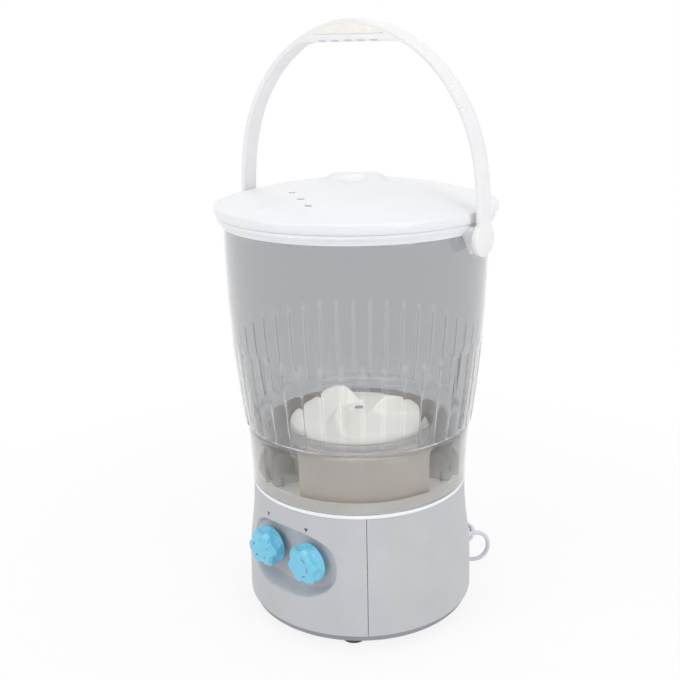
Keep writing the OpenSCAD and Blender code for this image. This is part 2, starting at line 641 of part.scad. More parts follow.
// The shaft, its bearings and the housing that hangs them in the drive plate
plate_t = 2.5;
bush_r = 9;
bush_h = 12;
housing_drop = 34;
motor_bolt_r = 33;
nut_d = 7;
nut_gap = 7.5;
collar_r = motor_dist - motor_bolt_r - nut_d / 2 - nut_gap;
collar_t = 4;
z_housing = z_plate - housing_drop;
z_nose = z_recess + 0.5;
z_shaft = z_pulley - 12;
shaft_bore = 16;
gusset_h = 14;
module drive_shaft() color("#c8cace") difference() {
    translate([0, 0, z_shaft]) cylinder(d = shaft_d, h = shaft_top - z_shaft, $fn = 64);
    translate([0, 0, shaft_top - shaft_bore]) cylinder(d = 4.1, h = shaft_bore + 1, $fn = 24);
}
module bearing_housing() color("#aeb1b6") difference() {
    union() {
        translate([0, 0, z_housing]) cylinder(r = housing_r, h = z_tower - z_housing - seat_gap);
        translate([0, 0, z_tower - 1]) cylinder(r = hub_r, h = z_nose - z_tower + 1);
        translate([0, 0, z_plate + plate_t]) cylinder(r = collar_r, h = collar_t);
        for (i = [0:3]) rotate([0, 0, 45 + 90 * i]) translate([housing_r - 2, -1.5,
            z_plate + plate_t + collar_t - 1])
            cube([(collar_r - housing_r) * 0.8, 3, gusset_h]);
    }
    translate([0, 0, z_housing - 1]) cylinder(r = bush_r - 2, h = z_nose - z_housing + 2);
    translate([0, 0, z_housing - 1]) cylinder(r = bush_r, h = bush_h + 1);
    translate([0, 0, z_nose - bush_h]) cylinder(r = bush_r, h = bush_h + 1);
}
module shaft_bushes() color("#b98d4f") for (z = [z_housing, z_nose - bush_h])
    translate([0, 0, z]) ring(bush_r, shaft_d / 2 + run_gap, bush_h, $fn = 64);
module shaft_seal() color("#2b2c30") translate([0, 0, z_nose])
    rotate_extrude($fn = 64) polygon([[shaft_d / 2 + run_gap, 0], [hub_r - 1, 0], [hub_r - 1, 0.8],
        [shaft_d / 2 + 2.4, 1.4], [shaft_d / 2 + 1.2, 2.4], [shaft_d / 2 + run_gap, 2.4]]);

motor_at = polar(motor_dist, motor_angle);
z_motor_top = z_plate - 3;
motor_eye_r = 10;
plate_screw_len = 13;
arm_w = 15;
arm_start = housing_r + 6;
module drive_plate() color("#a9adb2") difference() {
    translate([0, 0, z_plate]) union() {
        cylinder(r = 38, h = plate_t);
        for (a = plate_boss_angles) at_angle(a, arm_start) translate([0, -arm_w / 2, 0])
            cube([plate_boss_r - arm_start, arm_w, plate_t]);
        for (a = plate_boss_angles) at_angle(a, plate_boss_r)
            cylinder(r = arm_w / 2 + 1.3, h = plate_t, $fn = 48);
        translate(motor_at) cylinder(r = motor_r - 4, h = plate_t);
        at_angle(motor_angle, arm_start) translate([0, -motor_r + 10, 0])
            cube([motor_dist - arm_start, 2 * motor_r - 20, plate_t]);
    }
    translate([0, 0, z_plate - 1]) cylinder(r = housing_r + run_gap, h = plate_t + 2);
    for (a = plate_boss_angles) at_angle(a, plate_boss_r, z_plate - 1)
        cylinder(d = 3.8, h = plate_t + 2, $fn = 24);
    for (i = [0:3]) translate(motor_at) rotate([0, 0, motor_angle + 90 * i])
        translate([motor_bolt_r, 0, z_plate - 1]) cylinder(d = 4.4, h = plate_t + 2, $fn = 24);
    translate(motor_at + [0, 0, z_plate - 1]) cylinder(r = motor_eye_r, h = plate_t + 2, $fn = 48);
}
module plate_screws() color("#9a9ca0") for (a = plate_boss_angles)
    at_angle(a, plate_boss_r, z_plate) screw_up(3.3, plate_screw_len, 7, 2);

// A pulley with a V groove, centred on its own axis, with its lower face at z = 0
groove_depth = 5;
module pulley(r, h, bore) {
    rotate_extrude() polygon([[bore, 0], [r + 2, 0], [r + 2, (h - belt_w) / 2 - 0.5],
        [r - groove_depth + 2, h / 2 - 2],
        [r - groove_depth + 2, h / 2 + 2], [r + 2, (h + belt_w) / 2 + 0.5], [r + 2, h], [bore, h]]);
}
spokes = 5;
hole_r = big_pulley_r / 5.5;
module large_pulley() color("#d9dadc") translate([0, 0, z_pulley]) difference() {
    union() {
        pulley(big_pulley_r, pulley_h, shaft_d / 2);
        translate([0, 0, -3]) ring(11, shaft_d / 2, pulley_h + 6);
    }
    for (i = [0:spokes - 1]) rotate([0, 0, i * 360 / spokes]) translate([hole_r * 3, 0, -1])
        cylinder(r = hole_r, h = pulley_h + 2, $fn = 48);
}
module pulley_nut() color("#b0b3b8") translate([0, 0, z_pulley - 3 - 5])
    difference() {
        cylinder(d = 17, h = 5, $fn = 6);
        translate([0, 0, -1]) cylinder(d = shaft_d, h = 7, $fn = 48);
    }
module motor_pulley() color("#c9cbce") translate(motor_at + [0, 0, z_pulley])
    pulley(small_pulley_r, pulley_h, motor_shaft_r);

// The belt runs 0.3 mm clear of the pulleys' grooves
module belt_outline(d) hull() {
    circle(r = big_pulley_r + d, $fn = 72);
    translate([motor_at[0], motor_at[1]]) circle(r = small_pulley_r + d, $fn = 36);
}
belt_in = 2 - groove_depth + fit_gap;
belt_mid = 0.2;
belt_out = 2.4;
module belt_layer(inner, outer, w) {
    translate([0, 0, z_pulley + (pulley_h - w) / 2]) linear_extrude(w) difference() {
        belt_outline(outer);
        belt_outline(inner);
    }
}
module drive_belt() color("#26272b") {
    belt_layer(belt_in, belt_mid + eps, 3.6);
    belt_layer(belt_mid, belt_out, belt_w - 2.2);
}

// The motor hangs under the drive plate on four rubber mounts
motor_shaft_r = 4;
bell_h = 15;
z_motor_low = z_motor_top - 2 * bell_h - stator_h;
module motor_bell() {
    difference() {
        rotate_extrude() polygon([[0, 0], [motor_r - 8, 0], [motor_r - 1, 5], [motor_r, bell_h],
            [motor_r - 2.5, bell_h],
            [motor_r - 3.5, 6], [motor_r - 10, 2.5], [12, 2.5], [12, 8], [0, 8]]);
        translate([0, 0, -1]) cylinder(r = motor_shaft_r + run_gap, h = 20, $fn = 48);
        for (i = [0:7]) rotate([0, 0, 22.5 + 45 * i]) translate([22, 0, -1]) cylinder(r = 4, h = 8, $fn = 24);
        for (i = [0:3]) rotate([0, 0, motor_angle + 90 * i]) translate([motor_bolt_r, 0, -1])
            cylinder(d = 4.2, h = 30, $fn = 24);
    }
}
module motor_lower_bell() color("#9fa3a8") translate(motor_at + [0, 0, z_motor_low]) motor_bell();
module motor_upper_bell() color("#9fa3a8") translate(motor_at + [0, 0, z_motor_top]) mirror([0, 0, 1])
    motor_bell();
rotor_r = 20;
module motor_stator() color("#7d8086") translate(motor_at + [0, 0, z_motor_low + bell_h]) difference() {
    cylinder(r = motor_r, h = stator_h);
    translate([0, 0, -1]) cylinder(r = rotor_r + 0.5, h = stator_h + 2);
    for (i = [0:3]) rotate([0, 0, motor_angle + 90 * i]) translate([motor_bolt_r, 0, -1])
        cylinder(d = 4.2, h = stator_h + 2, $fn = 24);
}
coil_in_r = rotor_r + 2;
coil_out_r = motor_bolt_r - 4;
coil_h = bell_h - 8.5;
module motor_windings() color("#b5652f") for (z = [z_motor_low + bell_h - coil_h, z_motor_top - bell_h])
    translate(motor_at + [0, 0, z]) ring(coil_out_r, coil_in_r, coil_h);
module motor_rotor() color("#b9bcc1") translate(motor_at) {
    translate([0, 0, z_motor_low + bell_h - 2]) cylinder(r = rotor_r, h = stator_h + 4);
    translate([0, 0, z_pulley - 2]) cylinder(r = motor_shaft_r, h = z_motor_top - z_pulley + 2, $fn = 48);
}
module motor_bolts() color("#9a9ca0") for (i = [0:3]) translate(motor_at) rotate([0, 0, motor_angle + 90 * i])
    translate([motor_bolt_r, 0, 0]) {
        translate([0, 0, z_motor_low - 3]) cylinder(d = nut_d, h = 3, $fn = 6);
        translate([0, 0, z_motor_low - eps]) cylinder(d = 4, h = z_plate + plate_t + 3 - z_motor_low, $fn = 24);
        translate([0, 0, z_plate + plate_t]) cylinder(d = nut_d, h = 3, $fn = 6);
    }
module motor_mounts() color("#2b2c30") for (i = [0:3]) translate(motor_at) rotate([0, 0, motor_angle + 90 * i])
    translate([motor_bolt_r, 0, z_motor_top]) ring(6, 2.1, z_plate - z_motor_top, $fn = 32);

// Electrics
cap_angle = 262;
cap_r = 15;
cap_h = 46;
module capacitor() color("#e8e4da") at_angle(cap_angle, deck_r - 35, z_cover + cover_t) {
    cylinder(r = cap_r, h = cap_h, $fn = 64);
    translate([0, 0, cap_h - eps]) cylinder(r = cap_r - 4, h = 3, $fn = 48);
    for (s = [-1, 1]) translate([s * 4 - 0.4, -3, cap_h + 2]) cube([0.8, 6, 7]);
}
module terminal_block() color("#e9e9e4") at_angle(88, deck_r - 31, z_cover + cover_t) {
    translate([-9, -22, 0]) cube([18, 44, 5]);
    for (i = [0:3]) translate([-7, -20 + 10.5 * i, 5 - eps]) cube([14, 8.5, 9]);
}

// Timer and selector, behind the pocket's floor
switch_y = pocket_floor_y + pocket_wall;
module switch_body(x, w, depth) {
    front_at(x, switch_y) rotate([-90, 0, 0]) difference() {
        union() {
            translate([-w / 2, -w / 2, 0]) cube([w, w, 2.5]);
            translate([0, 0, 2.5 - eps]) cylinder(d = w - 3, h = depth, $fn = 64);
            for (i = [-1, 0, 1]) translate([i * 9 - 3, -0.4, depth + 2]) cube([6, 0.8, 8]);
        }
        translate([0, 0, -1]) cylinder(d = knob_shaft_d + 2 * run_gap, h = depth - 4, $fn = 48);
    }
}
timer_w = 40;
timer_depth = 34;
selector_w = 32;
selector_depth = 20;
shaft_in_knob = 12;
module timer_body() color("#d8d6cf") switch_body(-knob_pitch / 2, timer_w, timer_depth);
module selector_body() color("#d8d6cf") switch_body(knob_pitch / 2, selector_w, selector_depth);
module knob_shaft(x, depth) {
    front_at(x, knob_back_y - shaft_in_knob) rotate([-90, 0, 0])
        cylinder(d = knob_shaft_d, h = shaft_in_knob + switch_y - knob_back_y + depth, $fn = 48);
}
module timer_shaft() color("#c8cace") knob_shaft(-knob_pitch / 2, timer_depth - 10);
module selector_shaft() color("#c8cace") knob_shaft(knob_pitch / 2, selector_depth - 8);

// A knob with a narrow hub at its back, six scooped sides and a shallow dish in its face
scoops = 6;
hub_reach = knob_gap - 2;
knob_hub_r = 11;
module knob(x) {
    front_at(x, knob_back_y) rotate([90, 0, 0]) difference() {
        rotate_extrude() polygon([[0, -hub_reach], [knob_hub_r, -hub_reach], [knob_hub_r, 0],
            [knob_d / 2, 0], [knob_d / 2, 2], [knob_d / 2 - 0.8, knob_len - 7],
            [knob_d / 2 - 2.2, knob_len - 3], [knob_d / 2 - 5.5, knob_len - 0.8],
            [knob_d / 2 - 9, knob_len], [0, knob_len - 1.5]]);
        for (i = [0:scoops - 1]) rotate([0, 0, 30 + i * 360 / scoops])
            translate([knob_d / 2 + 4, 0, 3.5]) cylinder(r = 7.5, h = knob_len, $fn = 48);
        translate([0, 0, -hub_reach - 1])
            cylinder(d = knob_shaft_d, h = shaft_in_knob + hub_reach + 1, $fn = 48);
    }
}
module timer_knob() color("#8fd0e6") knob(-knob_pitch / 2);
module selector_knob() color("#8fd0e6") knob(knob_pitch / 2);

// The drain: a pipe from the tub floor down to an elbow and a spout through the rear wall
pipe_top = z_floor - floor_t - 1;
spout_len = 20;
module drain_pipe() color("#c9c9c4") difference() {
    union() {
        at_angle(spout_angle, pipe_dist, spout_z) cylinder(r = pipe_r, h = pipe_top - spout_z, $fn = 48);
        at_angle(spout_angle, pipe_dist, spout_z) sphere(r = pipe_r, $fn = 48);
        at_angle(spout_angle, pipe_dist, spout_z) rotate([0, 90, 0])
            cylinder(r = pipe_r, h = spout_wall - base_wall - pipe_dist - 6, $fn = 48);
    }
    at_angle(spout_angle, pipe_dist, spout_z) cylinder(r = pipe_r - pipe_wall, h = pipe_top, $fn = 48);
    at_angle(spout_angle, pipe_dist, spout_z) sphere(r = pipe_r - pipe_wall, $fn = 48);
    at_angle(spout_angle, pipe_dist, spout_z) rotate([0, 90, 0])
        cylinder(r = pipe_r - pipe_wall, h = spout_wall - pipe_dist, $fn = 48);
}
spout_bore_r = pipe_r - pipe_wall - 1.8 - run_gap;
module drain_spout() color("#d2d2ce") difference() {
    at_angle(spout_angle, spout_wall, spout_z) rotate([0, 90, 0]) rotate_extrude($fn = 64)
        polygon([[0, -16], [pipe_r - pipe_wall - run_gap, -16], [pipe_r - pipe_wall - run_gap, -9],
            [spout_r - 2, -9],
            [spout_r - 2, 0.6], [spout_r + 3, 0.6], [spout_r + 3, 3], [spout_r, 3], [spout_r, spout_len - 2],
            [spout_r - 1.2, spout_len], [0, spout_len]]);
    at_angle(spout_angle, spout_wall - 20, spout_z) rotate([0, 90, 0])
        cylinder(r = spout_bore_r, h = 60, $fn = 48);
}

// The cord's strain relief, with a tapered sleeve
sleeve_len = 20;
module cord_gland() color("#e6e6ea") difference() {
    at_angle(cord_angle, cord_wall, cord_z) rotate([0, 90, 0]) rotate_extrude($fn = 48)
        polygon([[0, -9], [gland_neck_r + 2, -9], [gland_neck_r + 2, -base_wall - 1],
            [gland_neck_r, -base_wall - 1],
            [gland_neck_r, 0.5], [gland_neck_r + 2.5, 0.5], [gland_neck_r + 2.5, 3], [cord_d / 2 + 2.4, 4],
            [cord_d / 2 + 1, sleeve_len], [0, sleeve_len]]);
    at_angle(cord_angle, cord_wall - 12, cord_z) rotate([0, 90, 0])
        cylinder(d = cord_d + 0.1, h = 10, $fn = 32);
}

// Sweeping a tube along a route of points
function unit(v) = v / norm(v);
function tangent(p, i) = unit(i == 0 ? p[1] - p[0] : i == len(p) - 1 ? p[i] - p[i - 1] : p[i + 1] - p[i - 1]);
// A side vector that stays nearly level along the route
function side(t) = abs(t[2]) > 0.98 ? [1, 0, 0] : unit(cross(t, [0, 0, 1]));
function tube_ring(p, t, r, n) = let(s = side(t), u = cross(s, t))
    [for (k = [0:n - 1]) p + r * (cos(360 * k / n) * s + sin(360 * k / n) * u)];
module tube(path, r, n) {
    rings = len(path);
    points = concat([for (i = [0:rings - 1]) each tube_ring(path[i], tangent(path, i), r, n)],
        [path[0], path[rings - 1]]);
    faces = concat(
        [for (i = [0:rings - 2]) for (k = [0:n - 1]) let(a = i * n + k, b = i * n + (k + 1) % n)
            each [[a, a + n, b], [b, a + n, b + n]]],
        [for (k = [0:n - 1]) [rings * n, k, (k + 1) % n]],
        [for (k = [0:n - 1]) [rings * n + 1, (rings - 1) * n + (k + 1) % n, (rings - 1) * n + k]]);
    polyhedron(points, faces);
}
// A smooth curve through a route's points, with steps rings between two points
function curve_at(p, i, t) = let(a = p[max(0, i - 1)], b = p[i], c = p[i + 1], d = p[min(len(p) - 1, i + 2)])
    0.5 * (2 * b + (c - a) * t + (2 * a - 5 * b + 4 * c - d) * t * t + (3 * b - 3 * c + d - a) * t * t * t);
function smooth(p, steps) = concat([for (i = [0:len(p) - 2]) for (s = [0:steps - 1]) curve_at(p, i, s / steps)],
    [p[len(p) - 1]]);
function path_len(p) = len(p) < 2 ? 0 : sum([for (i = [0:len(p) - 2]) norm(p[i + 1] - p[i])]);
function sum(v, i = 0) = i >= len(v) ? 0 : v[i] + sum(v, i + 1);

cord_r = cord_d / 2;
tie_t = 1;
z_hank = cord_r + tie_t + 0.3;

// The hank's loops lie flat behind the base: they spiral in on the floor, climb where the spiral
// turns back, and spiral out again on top, drawn in at the waist by a tie
hank_half = 42;
hank_mid = [-22, 188];
hank_turns = 4;
loop_rings = 24;
run_rings = 5;
hank_pitch = cord_d + 1.4;
hank_climb = cord_d + 0.8;
hank_waist = 6;
turn_in_r = 17;
ring_last = hank_turns * loop_rings + run_rings;
ring_turn = hank_turns / 2 * loop_rings + run_rings;
function hank_r(k) = turn_in_r + hank_pitch * abs(k - ring_turn) / loop_rings;
function hank_z(k) = let(t = (k - ring_turn + 12) / 12)
    z_hank + hank_climb * (t <= 0 ? 0 : t >= 1 ? 1 : 1 - sqrt(1 - t * t));
function waist(x) = hank_waist * (0.5 + 0.5 * cos(180 * x / hank_half));
// Ring k of a loop: a run to -X, a round end, a run back and the other round end
function loop_xy(k, r) =
    k <= 5 ? let(x = hank_half * (1 - 2 * k / 5)) [x, waist(x) - r] :
    k < 12 ? let(a = -90 - 180 * (k - 5) / 7) [r * cos(a) - hank_half, r * sin(a)] :
    k <= 17 ? let(x = hank_half * (2 * (k - 12) / 5 - 1)) [x, r - waist(x)] :
    let(a = 90 - 180 * (k - 17) / 7) [r * cos(a) + hank_half, r * sin(a)];
function hank_ring(k) = let(p = loop_xy(k % loop_rings, hank_r(k)))
    [p[0] + hank_mid[0], p[1] + hank_mid[1], hank_z(k)];
hank_start = hank_ring(0);
hank_end = hank_ring(ring_last);
hank_path = concat([hank_start, hank_start - [cord_d, 0, 0]], [for (k = [1:ring_last - 1]) hank_ring(k)],
    [hank_end + [cord_d, 0, 0], hank_end]);
hank_gap = min([for (k = [0:ring_last - 12]) for (j = [k + 12:ring_last])
    norm(hank_ring(k) - hank_ring(j))]) - cord_d;

// The free stretch leaves the strain relief, bends down to the floor and lies round the base's rear
cord_start = polar(cord_wall + sleeve_len, cord_angle, cord_z);
cord_straight = cord_start + polar(cord_d, cord_angle);
cord_route = [cord_start, cord_straight, [86.9, 150, 42.9], [90.9, 156.2, 37.1], [93.3, 159.3, 28.2],
    [93, 158.6, 17.5], [89.1, 154.1, 8.6], [81.7, 147.6, 3.7], [69.5, 140.7, 3.2], [57.9, 140.5, 3.7],
    [45.3, 146.5, 4.2], [34, 152.6, z_hank], hank_start + [cord_d, 0, 0], hank_start];

// From the hank to the plug
plug_h = 18;
plug_start = [-92, 160, plug_h / 2];
plug_route = [hank_end, hank_end - [cord_d, 0, 0], plug_start + [3 * cord_d, -1.6, 0.9],
    plug_start + [2 * cord_d, 0, 0], plug_start + [cord_d, 0, 0], plug_start];
cord_length = path_len(smooth(cord_route, 3)) + path_len(hank_path) + path_len(plug_route);
echo(str("Cord length from strain relief to plug: ", round(cord_length), " mm"));
echo(str("Least gap between the hank's turns: ", round(hank_gap * 100) / 100, " mm"));

module power_cord() color("#e9e8f0") tube(smooth(cord_route, 3), cord_r, 8);
module cord_hank() color("#e9e8f0") tube(hank_path, cord_r, 6);
module cord_to_plug() color("#e9e8f0") tube(smooth(plug_route, 3), cord_r, 8);

// A rectangle with round corners, from four arcs
function rounded(w, h, r) = [for (q = [0:3]) for (i = [0:6]) let(a = 90 * q + 15 * i)
    [(w / 2 - r) * (q == 0 || q == 3 ? 1 : -1) + r * cos(a), (h / 2 - r) * (q < 2 ? 1 : -1) + r * sin(a)]];
tie_w = hank_r(0) + hank_r(loop_rings / 2) - 2 * hank_waist + cord_d + 0.6;
tie_h = hank_climb + cord_d + 0.6;
tie_y = hank_mid[1] + (hank_r(loop_rings / 2) - hank_r(0)) / 2;
module cord_tie() color("#3a3b40")
    translate([hank_mid[0] - 3, tie_y, z_hank + hank_climb / 2]) rotate([90, 0, 90]) linear_extrude(6)
        difference() {
        polygon(rounded(tie_w + 2 * tie_t, tie_h + 2 * tie_t, cord_r + 0.3 + tie_t));
        polygon(rounded(tie_w, tie_h, cord_r + 0.3));
    }

// A two-pin plug with a tapered sleeve
plug_sleeve = 22;
plug_w = 25;
plug_len = 34;
blade_len = 17;
module plug_body() color("#e4e3ea") translate(plug_start) rotate([0, -90, 0]) {
    rotate_extrude($fn = 32) polygon([[0, 0], [cord_r + 1, 0], [cord_r + 3.4, plug_sleeve], [0, plug_sleeve]]);
    translate([0, 0, plug_sleeve - eps]) linear_extrude(plug_len) polygon(rounded(plug_h, plug_w, 6));
}
module plug_pins() color("#c9b27a") for (s = [-1, 1])
    translate(plug_start + [-plug_sleeve - plug_len - blade_len, s * 6.35 - 0.75, -3.15])
        cube([blade_len, 1.5, 6.3]);

base_shell();
control_panel();
bottom_cover();
cover_screws();
rubber_feet();
foot_screws();
trim_ring();
base_deck();
wash_tub();
tub_screws();
rim_band();
pivot_pins();
lid();
handle_bail();
handle_grip_insert();
pivot_caps();
pulsator();
pulsator_screw();
drive_shaft();
shaft_seal();
bearing_housing();
shaft_bushes();
drive_plate();
plate_screws();
large_pulley();
pulley_nut();
drive_belt();
motor_upper_bell();
motor_lower_bell();
motor_stator();
motor_windings();
motor_rotor();
motor_pulley();
motor_bolts();
motor_mounts();
capacitor();
terminal_block();
timer_body();
timer_shaft();
timer_knob();
selector_body();
selector_shaft();
selector_knob();
drain_pipe();
drain_spout();
cord_gland();
power_cord();
cord_hank();
cord_tie();
cord_to_plug();
plug_body();
plug_pins();
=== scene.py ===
# %% [markdown]
# # A mini washing machine, from its frame to its finishes
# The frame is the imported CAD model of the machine: a round base with a motor and two knobs, a
# see-through tub, a lid and a bail handle. This lesson hangs smooth, detailed pieces on that frame
# and gives every surface the finish of the real plastic, rubber or metal.

# %% The frame and the tools
import math

import bmesh
import bpy
from mathutils import Matrix, Vector


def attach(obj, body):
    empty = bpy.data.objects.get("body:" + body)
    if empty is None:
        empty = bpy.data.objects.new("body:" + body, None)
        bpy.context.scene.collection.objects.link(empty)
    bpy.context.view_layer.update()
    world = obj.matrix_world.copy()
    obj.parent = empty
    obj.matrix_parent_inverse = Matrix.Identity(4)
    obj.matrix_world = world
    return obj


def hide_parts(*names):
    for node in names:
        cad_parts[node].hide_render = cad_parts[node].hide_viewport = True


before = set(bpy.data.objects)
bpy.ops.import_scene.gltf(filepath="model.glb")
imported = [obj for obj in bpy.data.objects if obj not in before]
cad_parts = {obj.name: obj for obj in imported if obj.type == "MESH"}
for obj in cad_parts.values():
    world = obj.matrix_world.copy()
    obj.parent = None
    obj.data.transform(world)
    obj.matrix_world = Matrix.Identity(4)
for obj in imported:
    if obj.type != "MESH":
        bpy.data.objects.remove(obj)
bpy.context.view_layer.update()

scene = bpy.context.scene
scene.view_settings.view_transform = "Standard"
MM = 0.001


def stand(name, data):
    """Makes an object of some data and puts it in the scene."""
    obj = bpy.data.objects.new(name, data)
    scene.collection.objects.link(obj)
    return obj


def turned(degrees, axis):
    """The matrix of a turn about an axis."""
    return Matrix.Rotation(math.radians(degrees), 4, axis)


def at(x, y, z):
    """The matrix of a move to a point."""
    return Matrix.Translation((x, y, z))


# %% [markdown]
# ## The camera
# The photograph looks down on the machine from its right front corner. A camera is three facts:
# where it stands, where it looks and how long its lens is. All three were measured from the
# ellipses of the tub and the lid, so they are typed in and not tuned by eye.

# %% The camera
CAMERA_TURN = math.radians(38.4)
CAMERA_AWAY = 1109.5 * MM
CAMERA_UP = 671.2 * MM
AIM_SIDE, AIM_DOWN, AIM_ROLL = 1.07, 16.85, -1.06
camera_data = bpy.data.cameras.new("camera")
camera_data.lens = 51.4
camera_data.sensor_width = 36
camera = stand("camera", camera_data)
scene.camera = camera
camera.location = (CAMERA_AWAY * math.sin(CAMERA_TURN), -CAMERA_AWAY * math.cos(CAMERA_TURN), CAMERA_UP)
aim = (Matrix.Rotation(CAMERA_TURN + math.radians(AIM_SIDE), 4, "Z") @ turned(90 - AIM_DOWN, "X")
       @ turned(AIM_ROLL, "Z"))
camera.rotation_euler = aim.to_euler()
print("camera at", [round(v, 3) for v in camera.location])

# %% [markdown]
# ## Small helpers
# A colour is written as the hex value that a paint chart would give, and one function turns it to
# the linear light that the shader works in. A second function adds one node with its settings and
# its links, which is nearly all that a material below needs. A third does arithmetic with nodes.

# %% Colours and nodes
def linear(hex_colour):
    """The linear RGBA colour of an sRGB hex value."""
    parts = [int(hex_colour[i:i + 2], 16) / 255 for i in (1, 3, 5)]
    return (*[p / 12.92 if p <= 0.04045 else ((p + 0.055) / 1.055) ** 2.4 for p in parts], 1.0)


def blank(name):
    """A new material with an empty node tree."""
    material = bpy.data.materials.new(name)
    material.use_nodes = True
    material.node_tree.nodes.clear()
    return material


def add(material, kind, links=None, **settings):
    """Adds one node. settings fill its sockets or properties, and links join sockets to it."""
    tree = material.node_tree
    node = tree.nodes.new("ShaderNode" + kind)
    for name, value in settings.items():
        if hasattr(node, name):
            setattr(node, name, value)
        else:
            node.inputs[name.replace("_", " ")].default_value = value
    for name, source in (links or {}).items():
        tree.links.new(source, node.inputs[name])
    return node


def value(material, operation, *sources):
    """One step of arithmetic on sockets and numbers."""
    node = add(material, "Math", operation=operation)
    for i, source in enumerate(sources):
        if isinstance(source, bpy.types.NodeSocket):
            material.node_tree.links.new(source, node.inputs[i])
        else:
            node.inputs[i].default_value = source
    return node.outputs["Value"]


# %% [markdown]
# Nearly all of the machine is moulded plastic, and moulded plastic is never quite even: its colour
# drifts a little, its gloss drifts a little, and the steel of the mould leaves a fine grain. One
# function makes that finish from a colour, a gloss and the size of the grain in millimetres.

# %% The finish of a moulded or cast surface
ROUGH_DRIFT = 0.06
PLASTIC_IOR = 1.5


def moulded(name, colour, shade, roughness, grain_mm, grain_depth, drift_mm=40, metallic=0.0):
    """A surface whose colour drifts from colour to shade, with a fine grain pressed into it."""
    material = blank(name)
    where = add(material, "TexCoord").outputs["Object"]
    drift = add(material, "TexNoise", {"Vector": where}, Scale=1000 / drift_mm, Detail=3.0)
    colours = add(material, "ValToRGB", {"Fac": drift.outputs["Fac"]})
    colours.color_ramp.elements[0].position = 0.3
    colours.color_ramp.elements[0].color = linear(shade)
    colours.color_ramp.elements[1].position = 0.7
    colours.color_ramp.elements[1].color = linear(colour)
    gloss = add(material, "MapRange", {"Value": drift.outputs["Fac"]}, To_Min=roughness - ROUGH_DRIFT / 2,
                To_Max=roughness + ROUGH_DRIFT / 2)
    grain = add(material, "TexNoise", {"Vector": where}, Scale=1000 / grain_mm, Detail=0.0)
    bump = add(material, "Bump", {"Height": grain.outputs["Fac"]}, Strength=0.3, Distance=grain_depth * MM)
    surface = add(material, "BsdfPrincipled", {"Base Color": colours.outputs["Color"],
                  "Roughness": gloss.outputs["Result"], "Normal": bump.outputs["Normal"]}, Metallic=metallic)
    if not metallic:
        surface.inputs["IOR"].default_value = PLASTIC_IOR
    add(material, "OutputMaterial", {"Surface": surface.outputs["BSDF"]})
    return material


# Real grain is finer than a pixel here and would only show as speckle, so each grain is drawn at the
# size of the waviness that the eye does see: a few millimetres, and very shallow.
# Polished moulds give the lid and the band a clean gloss with a faint orange peel.
WHITE_ABS = moulded("white_abs_polished", "#f0f1f4", "#ecedf1", 0.26, 9, 0.03)
# The bail is a separate moulding with a finer satin.
BAIL_ABS = moulded("bail_abs_satin", "#f2f2f3", "#eeeef0", 0.36, 9, 0.02)
# Spark-eroded moulds leave the base with a soft, even sheen.
GREY_ABS = moulded("grey_abs_spark_eroded", "#c4c5c9", "#bfc0c4", 0.44, 4, 0.04)
RING_ABS = moulded("white_abs_trim", "#f7f8fa", "#f2f3f6", 0.3, 6, 0.02)
LIP_ABS = moulded("dark_grey_abs_cover", "#9c9da4", "#93949b", 0.55, 4, 0.06)
DECK_PP = moulded("cream_polypropylene", "#efece4", "#e7e3d9", 0.48, 6, 0.05)
SMOKED_CREAM = moulded("smoky_cream_abs", "#e2d8cb", "#d8cfc4", 0.4, 8, 0.05, drift_mm=45)
PULSATOR_PP = moulded("white_polypropylene", "#fbf9f3", "#f5f2ea", 0.4, 6, 0.04)
KNOB_ABS = moulded("light_blue_abs", "#80d0ec", "#76c8e7", 0.27, 5, 0.02, drift_mm=25)
GRIP_TPE = moulded("cream_soft_touch_rubber", "#f8f6f0", "#f1eee5", 0.6, 3.5, 0.08, drift_mm=12)
# This dark rubber is the feet's own colour, and also painted shade in the ring at the tub wall's foot and in
# the lid's vents.
FOOT_RUBBER_AND_SHADE = moulded("dark_grey_rubber_and_painted_shade", "#4c4d53", "#3d3e44", 0.7, 4, 0.12, drift_mm=8)
CORD_PVC = moulded("white_pvc_sheath", "#e4e3ec", "#dbdae5", 0.38, 5, 0.05, drift_mm=30)
PRINT_INK = moulded("grey_pad_print", "#4b4d57", "#555762", 0.5, 3, 0.02, drift_mm=3)
# The marks on the knobs are printed in a thin ink that lets the blue through.
KNOB_INK = moulded("blue_grey_pad_print", "#5b8ea6", "#6697ae", 0.4, 3, 0.02, drift_mm=3)
print("materials so far:", len(bpy.data.materials))

# %% [markdown]
# The tub is clear plastic with a smoky tint, so the far wall, the pulsator and the well below show
# through it. Its wall is thin and both faces follow each other, so it bends light far less than a
# solid block would: a low index under a glossy coat gives that look. The tint is weaker in the
# grooves between the flutes, where the wall is thin, and those are the pale stripes that the eye
# sees on the far side. Rays that look for a lamp pass by a plain film, because glass would stop them.

# %% The tub's smoky clear plastic
# The angle of the first groove was read from the photograph.
FLUTES, FLUTE_START, FLUTE_FOOT, FLUTE_TOP = 40, -2.2 - 38.4, 246.0, 351.0
STRIPE_EDGES, STRIPE_FOOT_FADE, STRIPE_TOP_FADE = (0.33, 0.47), 4.0, 7.0
TUB_IOR, COAT_IOR, COAT_ROUGHNESS = 1.16, 1.55, 0.08
GLOSS_MM, FLOW_MM, FLOW_DEPTH = 60, 35, 0.4


